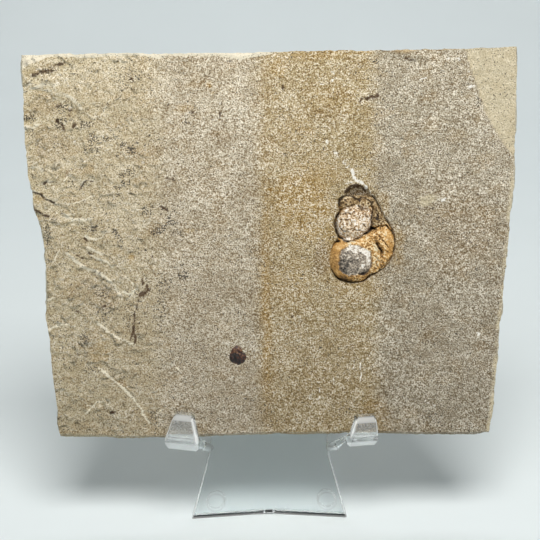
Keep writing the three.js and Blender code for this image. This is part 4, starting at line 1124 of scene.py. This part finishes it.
# Where its parts meet or end in a crack: a line, how wide and deep it is and how dark. The dark is partly
# the cracks' own and partly painted shade in the grooves, most along the spire's left and the whorl's foot.
CRACKS = (
    (((24, 73), (22.6, 71), (22, 69), (22.1, 66.5), (23, 64.6), (24.3, 63.4), (26, 62.9)), 0.42, 0.9, 1),
    (((26, 62.9), (28, 63.3), (29.8, 64.1), (31.4, 65.4)), 0.28, 0.6, 0.55),
    (((31.4, 65.4), (32.6, 66.4), (33.6, 67.1), (34.8, 67.1)), 0.45, 1.2, 1),
    (((34.8, 67), (36.3, 67.7), (37.8, 68), (39, 67.4), (40, 66.3), (40.6, 65)), 0.26, 0.8, 0.9),
    (((33.9, 75.4), (33.9, 72), (33.7, 69), (33.5, 67.3)), 0.28, 0.9, 0.9),
    (((23.3, 74.4), (23.2, 76), (24.2, 77.2), (26, 77.9), (27.8, 77.6), (28.6, 76.6)), 0.34, 0.8, 1),
    (((28.6, 76.6), (29.6, 76.2), (31, 76.9), (32.5, 76.6), (33.6, 75.2)), 0.28, 0.6, 0.8),
    (((24.2, 73.3), (25.4, 74.2), (26.8, 74.1), (28.2, 74.9)), 0.24, 0.5, 0.6),
    (((34.2, 77.2), (35.5, 74.9), (36.6, 72.4), (38.1, 69.9), (39.3, 68.4)), 0.22, 0.5, 0.6),
    (((34.9, 73.2), (35.6, 71.6), (35.2, 70.2), (36.4, 69.6)), 0.3, 0.4, 0.7),
    (((20.6, 53.5), (21.5, 52.2), (22.8, 51.1), (24.3, 50.4), (26, 50.1), (28.3, 49.9)), 0.4, 0.9, 1),
    (((28.3, 49.9), (30.2, 50.1), (31.4, 50.9)), 0.26, 0.6, 0.8),
    (((32.2, 51.4), (33.3, 52.2), (34.8, 53)), 0.28, 0.6, 0.85), (((36, 53.7), (37.6, 55)), 0.28, 0.6, 0.8),
    (((38.2, 55.7), (39.4, 57.2), (39.9, 58.2)), 0.26, 0.6, 0.75),
    (((40.5, 59.6), (40.8, 61.2)), 0.28, 0.6, 0.85), (((40.9, 62.4), (40.8, 64.4)), 0.22, 0.5, 0.6),
    (((23.4, 59.6), (22.9, 57.5), (23, 55), (23.9, 53)), 0.3, 0.25, 0.5),
    (((33.1, 59.6), (33.3, 57), (33.3, 54.6)), 0.26, 0.3, 0.45),
    (((29.4, 52.4), (30.6, 52.3), (32, 53)), 0.5, 0.8, 0.8),
    (((35.1, 62.3), (35.6, 61.4), (36.2, 60.4), (36.8, 59.5)), 0.5, 2, 1),
    (((34.6, 64.4), (34.9, 63)), 0.2, 0.6, 0.6), (((36.4, 64.4), (37.4, 62.6), (38.6, 61)), 0.2, 0.4, 0.6),
    (((37.8, 65), (38.9, 63.4), (39.9, 62.3)), 0.18, 0.3, 0.5),
    (((34.2, 58.4), (35.6, 56.6), (37.2, 55.6)), 0.2, 0.35, 0.6),
    (((36.2, 58.6), (37.6, 57.4), (39, 57)), 0.18, 0.3, 0.5), (((34.4, 56.2), (35.4, 54.8)), 0.2, 0.3, 0.6),
    (((37.6, 60.2), (39.2, 59.2)), 0.18, 0.3, 0.5),
    (((29.6, 74.2), (30.4, 73.2), (31.4, 73.4)), 0.3, 0.5, 0.8),
    (((31.4, 71.6), (32.4, 70.8)), 0.3, 0.5, 0.7),
    (((23.4, 67.4), (24.4, 66.4), (25.8, 66.2)), 0.22, 0.4, 0.6),
    (((24.6, 71.4), (25.8, 72), (27, 71.4)), 0.22, 0.4, 0.5),
    (((27.2, 67), (28.4, 66.2), (29.8, 66.4)), 0.22, 0.4, 0.5),
    (((30.6, 68.6), (31.6, 67.4)), 0.22, 0.4, 0.6),
)
SPIRE_EDGE = (
    (24.2, 73.2), (22.6, 71), (22, 69), (22.1, 66.5), (23, 64.6), (24.3, 63.3), (26, 62.9), (28, 63.3),
    (29.8, 64.1), (31.4, 65.4), (33.4, 67.2), (33.8, 69), (33.9, 72), (33.6, 73.4), (31, 74.6), (28, 74.4),
    (26, 74.2),
)
CORE_EDGE = (
    (23.6, 60), (25, 61.2), (27, 61.8), (29.5, 61.5), (31.5, 60.5), (33, 59.5), (33.2, 57), (33.3, 54.5),
    (32.3, 53), (30.5, 52.3), (28, 52.2), (26, 51.9), (24.3, 52.6), (23.2, 54), (22.9, 56),
)
MOUTH_LIP = ((34.0, 64.0), (34.4, 62.0), (35.4, 60.0))
# Paler and darker patches: middle, half size, turn and how much. The pale band along the top of the last
# whorl is partly painted highlight, and the dark crescent along its lower edge partly painted shade.
SHADES = (
    ((24.5, 61.7), (3, 1), 18, 0.2), ((27.3, 62.5), (1.8, 0.6), 8, 0.5),
    ((31, 63.3), (2.6, 0.9), 28, 0.35), ((38.4, 64.5), (1.8, 2.2), 0, 0.2),
    ((21.4, 57), (1.3, 4.2), 0, -0.2), ((25, 51.2), (3.4, 1), -12, -0.36),
    ((30, 51), (2, 0.8), 20, -0.15), ((35, 57.5), (1.3, 3.2), 0, 0.35),
    ((24.4, 55.2), (1.7, 3.2), 0, -0.42), ((27.3, 55.6), (2.4, 2.6), 0, -0.12),
    ((27.4, 60.6), (2.8, 1.3), -8, 1), ((31.6, 59.6), (2, 1.2), -35, 0.9),
    ((32.4, 57.2), (0.8, 2.2), 0, 0.4), ((30.4, 55), (0.9, 0.7), 0, 0.5),
    ((30.8, 52.6), (1.5, 0.6), 10, -0.6), ((23.6, 68.6), (1.2, 3.4), 0, -0.1),
    ((29.5, 72.6), (2.6, 1.3), 0, -0.2), ((22.9, 68.2), (0.45, 3.2), 8, 0.45),
    ((26, 63.8), (1.8, 0.4), 5, 0.5), ((25.8, 77.1), (1.8, 0.4), 0, 0.6),
    ((34.6, 61.2), (0.6, 1.7), 30, 0.9), ((37.2, 62), (0.5, 1.8), 35, 0.3),
    ((35.3, 70.5), (0.9, 1), 0, -0.35), ((36.8, 66), (1.6, 0.9), 10, 0.15),
    ((29.6, 76.2), (0.8, 0.7), 0, -0.4), ((24.9, 75.4), (1.5, 1.3), 0, -0.25),
)


def snail_height(x, y):
    """Height of the shell above the slab's back face."""
    total = 0.0
    for whorl in WHORLS:
        reach = reach_from(x, y, whorl["at"], whorl["half"], whorl["turn"])
        dome = np.sqrt(np.clip(1 - np.minimum(reach, 1) ** 2.4, 0, 1)) - np.clip(reach - 1, 0, 2)
        high = whorl["foot"] + (whorl["top"] - whorl["foot"]) * dome
        total = total + np.exp(high / MERGE)
    return MERGE * np.log(total)


def within(x, y, ring, blur, seed):
    """1 inside a closed ring of points and 0 outside it, over a ragged blurred edge."""
    x = x + 0.3 * grain(x, y, 1.0, seed)
    y = y + 0.3 * grain(x, y, 1.0, seed + 1)
    inside = np.zeros(np.shape(x), bool)
    for (ax, ay), (bx, by) in zip(ring, ring[1:] + ring[:1]):
        crossed = (ay > y) != (by > y)
        inside ^= crossed & (x < ax + (bx - ax) * (y - ay) / (by - ay + 1e-12))
    gap, _ = beside(x, y, ring + ring[:1])
    return smooth(np.where(inside, gap, -gap), -blur, blur)


def snail_surface(x, y):
    """The shell's height and its parts, with lumps, growth lines, cracks and lost crust."""
    high = snail_height(x, y)
    spire = within(x, y, SPIRE_EDGE, 0.25, 201)
    core = within(x, y, CORE_EDGE, 0.3, 203)
    flank = smooth(x - 0.1 * (y - 70), 33.5, 34.1) * smooth(y - 0.25 * (x - 34), 67.2, 68)
    flank = np.maximum(flank, smooth(y, 73.4, 74.6) * (1 - spire))
    crust = np.clip(1 - spire - core - flank, 0, 1)
    high = high + spire * (0.3 * grain(x, y, 1.7, 205, 2) + 0.26 * grain(x, y, 0.8, 206, 2))
    high = high + core * (0.18 * grain(x, y, 2.0, 207, 2) + 0.16 * grain(x, y, 0.7, 208, 2) - 0.35)
    high = high + flank * (0.3 * grain(x, y, 1.4, 209, 3))
    growth = grain(0.766 * x + 0.643 * y, 0.16 * x - 0.19 * y, 0.55, 211, 2)
    growth = 1.6 * growth * smooth(x, 32.5, 35) * crust
    high = high + 0.16 * growth + crust * 0.14 * grain(x, y, 1.2, 212, 3)
    dark = np.zeros(np.shape(x))
    for k, (line, wide, deep, black) in enumerate(CRACKS):
        crack = stroke(x, y, line, wide, 213 + k)
        high = high - deep * crack
        dark = np.maximum(dark, black * crack * (0.9 + 0.3 * grain(x, y, 0.9, 250)))
    pit = dab(x, y, (33.9, 67.2), (0.9, 0.6), 251)
    notch = dab(x, y, (22.6, 63.1), (1.0, 0.6), 252)
    high = high - 1.1 * np.maximum(pit, notch)
    high = high + 0.4 * np.exp(-((beside(x, y, MOUTH_LIP)[0] / 0.5) ** 2))
    soft_side = np.exp(-(((x - 20) / 2.6) ** 2) - ((y - 57) / 4.2) ** 2)
    rim = 1 - smooth(-outside_snail(x, y), 0.0, 0.8)
    high = high - (1.4 - 1.1 * soft_side) * rim**2
    pale = 0.5 + 0.14 * growth
    for k, (place, half, turn, amount) in enumerate(SHADES):
        pale = pale + amount * dab(x, y, place, half, 260 + k, turn)
    worn_crust = crust * np.maximum(1 - smooth(x, 23.5, 28), 0.7 * smooth(x, 36.5, 38.5))
    parts = {"spire": spire, "core": core, "flank": np.maximum(flank, 0.5 * soft_side), "pale": pale}
    parts["seam"] = np.maximum(dark, np.maximum(pit, notch))
    parts["even"] = np.maximum(worn_crust, 0.45 * core)
    return high, parts


def mound_points(middle, top, x, y, z, skirts):
    """Points of a mound: its top, rings outwards, the last ring at each lower height, its underside."""
    points = [np.array([[*middle, top]]), np.stack([x.ravel(), y.ravel(), z.ravel()], 1)]
    points += [np.column_stack([x[-1], y[-1], skirt]) for skirt in skirts]
    return np.concatenate([*points, [[*middle, skirts[-1][0]]]])


def mound_faces(rings, rays):
    """Faces of a mound: a fan round its top, strips between its rings and a fan underneath."""
    faces = [(0, 1 + k, 1 + (k + 1) % rays) for k in range(rays)]
    faces += [f[::-1] for f in strips(rings, rays, first=1, closed=True)]
    last = 1 + (rings - 1) * rays
    return faces + [(last + (k + 1) % rays, last + k, last + rays) for k in range(rays)]


SNAIL_RAYS, SNAIL_RINGS = 340, 88
SNAIL_GAP = 0.12  # from the walls of its pocket
SNAIL_UNDER = 6.35
SNAIL_SHARP = 60.0  # degrees
ray = np.linspace(-math.pi, math.pi, SNAIL_RAYS, endpoint=False)
ray_edge = np.interp(ray, fine_angle, fine_radius, period=2 * math.pi) - SNAIL_GAP
outwards = np.linspace(0, 1, SNAIL_RINGS + 1)[1:, None]
snail_x = SNAIL_MIDDLE[0] + outwards * ray_edge * np.cos(ray)
snail_y = SNAIL_MIDDLE[1] + outwards * ray_edge * np.sin(ray)
snail_z, snail_parts = snail_surface(snail_x, snail_y)
top_z, top_parts = snail_surface(*np.array(SNAIL_MIDDLE)[:, None])
snail_z = np.maximum(snail_z, SNAIL_UNDER)
snail_skirts = [SNAIL_UNDER + share * (snail_z[-1] - SNAIL_UNDER) for share in (0.5, 0.0)]
snail_points = mound_points(SNAIL_MIDDLE, top_z[0], snail_x, snail_y, snail_z, snail_skirts)
snail_faces = mound_faces(SNAIL_RINGS + 2, SNAIL_RAYS)

# Calcite crust, waxy and orange from iron, over a chalky white spire and a grey mud core.
shell, shell_shader, shell_mm = new_material("iron_stained_calcite")
shade = node(shell, "Attribute", {}, "Fac", attribute_name="pale")
even = node(shell, "Attribute", {}, "Fac", attribute_name="even")
evenly = node(shell, "Math", {0: even, 1: 0.75}, operation="MULTIPLY")
speckled = varied(shell, shell_mm, 0.62, 2.0, 0.06, 0.94)
spotted = node(shell, "Mix", {0: evenly, 2: speckled, 3: 0.5}, data_type="FLOAT")
blotched = varied(shell, shell_mm, 1.7, 3.0, -0.14, 0.14, 19.0)
mottled = node(shell, "Math", {0: spotted, 1: blotched}, operation="ADD")
shade_shift = node(shell, "Math", {0: shade, 1: 0.6, 2: -0.27}, operation="MULTIPLY_ADD")
shell_level = node(shell, "Math", {0: mottled, 1: shade_shift}, operation="ADD")
SHELL_LEVELS = (0.1, 0.3, 0.5, 0.66, 0.86)  # from mud in the pits up to clean crystal
SHELL_TONES = {
    "crust": ("#3d2810", "#8a6430", "#c89650", "#e6ba78", "#fae8c0"),
    "flank": ("#2a1b0c", "#664b27", "#987b4e", "#bc9f72", "#ead9b6"),
    "spire": ("#3b2610", "#94704a", "#dbbf97", "#f1dfc6", "#fff9f0"),
    "core": ("#26211c", "#625a4e", "#94887a", "#c2b39e", "#fbf6ec"),
}
shell_colour = None
for part, tones in SHELL_TONES.items():
    tone = node(shell, "ValToRGB", {"Fac": shell_level}, stops=tuple(zip(SHELL_LEVELS, tones)))
    if shell_colour:
        share = node(shell, "Attribute", {}, "Fac", attribute_name=part)
        tone = node(shell, "Mix", {0: share, 6: shell_colour, 7: tone}, 2, data_type="RGBA")
    shell_colour = tone
# Painted shade in part: cracks, pits and the gap round the shell are darkened beyond their own dark.
seam = node(shell, "Attribute", {}, "Fac", attribute_name="seam")
cracked = {0: seam, 6: shell_colour, 7: linear("#24160b")}
shell_colour = node(shell, "Mix", cracked, 2, data_type="RGBA")
shell_gloss = varied(shell, shell_mm, 1.9, 3.0, 0.6, 0.45, 19.0)
shell_bump = node(shell, "Bump", {"Height": speckled, "Strength": 0.8, "Distance": 0.0003})
shell_looks = {"Base Color": shell_colour, "Roughness": shell_gloss, "Normal": shell_bump}
connect(shell, shell_shader, shell_looks)

snail = mesh_piece("fossil_snail", snail_points, snail_faces, shell, SNAIL_SHARP)
for name, amounts in snail_parts.items():
    # Painted shade: the skirt and the underside are made fully dark, as in the gap round the shell.
    hidden = np.full(2 * SNAIL_RAYS + 1, 1.0 if name == "seam" else 0.0)
    marked(snail, **{name: np.concatenate([top_parts[name], amounts.ravel(), hidden])})
snail.matrix_world = SLAB_PLACE
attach(snail, "root")
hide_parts("snail_fossil")

# ---- Seed ---------------------------------------------------------------------------------------
# A small flattened seed with a side lobe, turned to dark carbon. It sank into the lake's mud before
# that hardened, so it is pressed into the face.

SEED_MIDDLE = (-9.5, 27.0)
SEED_TOP, SEED_SHOULDER, SEED_UNDER = 9.8, 9.15, 8.55  # heights above the slab's back
SEED_DOME = 0.6
SEED_LOBE = ((-0.2, -1.3), (2.3, 1.9))  # the side lobe's middle and half size
SEED_RIB, SEED_FURROW, SEED_GRAIN = 0.12, 0.16, 0.16
SEED_RAYS, SEED_RINGS = 120, 30
SEED_RIM = (
    (-0.5, 3.05), (0.42, 2.55), (1.2, 1.55), (1.4, 0.55), (2.25, 0.25), (2.62, -0.8), (2.36, -1.82),
    (1.45, -2.7), (0.2, -3.2), (-1.2, -2.8), (-2.45, -2.1), (-2.8, -0.65), (-2.6, 0.6), (-2.15, 1.65),
    (-1.4, 2.55),
)
rim_x, rim_y = np.array(SEED_RIM).T
seed_ray = np.linspace(-math.pi, math.pi, SEED_RAYS, endpoint=False)
seed_edge = np.interp(seed_ray, np.arctan2(rim_y, rim_x), np.hypot(rim_x, rim_y), period=2 * math.pi)
seed_edge = seed_edge * 1.03 + 0.05 * np.sin(11 * seed_ray) + 0.04 * np.sin(23 * seed_ray + 1)
outwards = np.linspace(0, 1, SEED_RINGS + 1)[1:, None]
local_x, local_y = outwards * seed_edge * np.cos(seed_ray), outwards * seed_edge * np.sin(seed_ray)
seed_x, seed_y = SEED_MIDDLE[0] + local_x, SEED_MIDDLE[1] + local_y
seed_dome = np.sqrt(np.clip(1 - outwards**2.6, 0, 1))
ribs = np.abs(np.sin(local_x * 2.6 + 0.5 * grain(seed_x, seed_y, 1.2, 301)))
lobe = reach_from(local_x, local_y, *SEED_LOBE)
furrow = np.exp(-(((lobe - 1) / 0.14) ** 2))
seed_z = SEED_SHOULDER + (SEED_DOME + SEED_RIB * ribs - SEED_FURROW * furrow) * seed_dome
seed_z = seed_z + SEED_GRAIN * grain(seed_x, seed_y, 0.8, 302, 2)
seed_skirt = np.full(SEED_RAYS, SEED_UNDER)
seed_points = mound_points(SEED_MIDDLE, SEED_TOP, seed_x, seed_y, seed_z, [seed_skirt])
seed_faces = mound_faces(SEED_RINGS + 1, SEED_RAYS)

# Carbonised seed coat: satin and nearly black, red-brown where it is thin.
coat, coat_shader, coat_mm = new_material("carbonised_seed_coat")
coat_grain = {"Scale": 1 / 0.8, "Detail": 4.0, "Roughness": 0.65}
coat_mottle = node(coat, "TexNoise", {"Vector": coat_mm, **coat_grain})
thin = node(coat, "Attribute", {}, "Fac", attribute_name="thin")
coat_level = node(coat, "Math", {0: thin, 1: 0.22, 2: coat_mottle}, operation="MULTIPLY_ADD")
COAT_TONES = ((0.4, "#15100e"), (0.52, "#2b221d"), (0.6, "#3f221d"), (0.7, "#603e25"), (0.85, "#957659"))
coat_tone = node(coat, "ValToRGB", {"Fac": coat_level}, stops=COAT_TONES)
satin = {"From Min": 0.3, "From Max": 0.7, "To Min": 0.38, "To Max": 0.6}
coat_gloss = node(coat, "MapRange", {"Value": coat_mottle, **satin})
coat_bump = node(coat, "Bump", {"Height": coat_mottle, "Strength": 0.6, "Distance": 0.0002})
connect(coat, coat_shader, {"Base Color": coat_tone, "Roughness": coat_gloss, "Normal": coat_bump})

seed = mesh_piece("fossil_seed", seed_points, seed_faces, coat)
thin_skin = smooth(local_y + 0.6 * grain(seed_x, seed_y, 1.0, 303), -0.2, 1.2) * 0.85
lobe_gap = np.hypot(local_x - 1.9, local_y + 0.9) - 0.75
thin_skin = np.maximum(thin_skin, 0.7 * np.exp(-((lobe_gap / 0.3) ** 2)))
keel_gap = local_x + 0.45 + 0.1 * local_y
keel = 1.5 * np.exp(-((keel_gap / 0.22) ** 2)) * smooth(local_y, 0, 0.8)
thin_skin = np.maximum(thin_skin, keel)
marked(seed, thin=np.concatenate([[0.0], thin_skin.ravel(), np.zeros(SEED_RAYS + 1)]))
seed.matrix_world = SLAB_PLACE
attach(seed, "root")
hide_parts("seed_fossil")
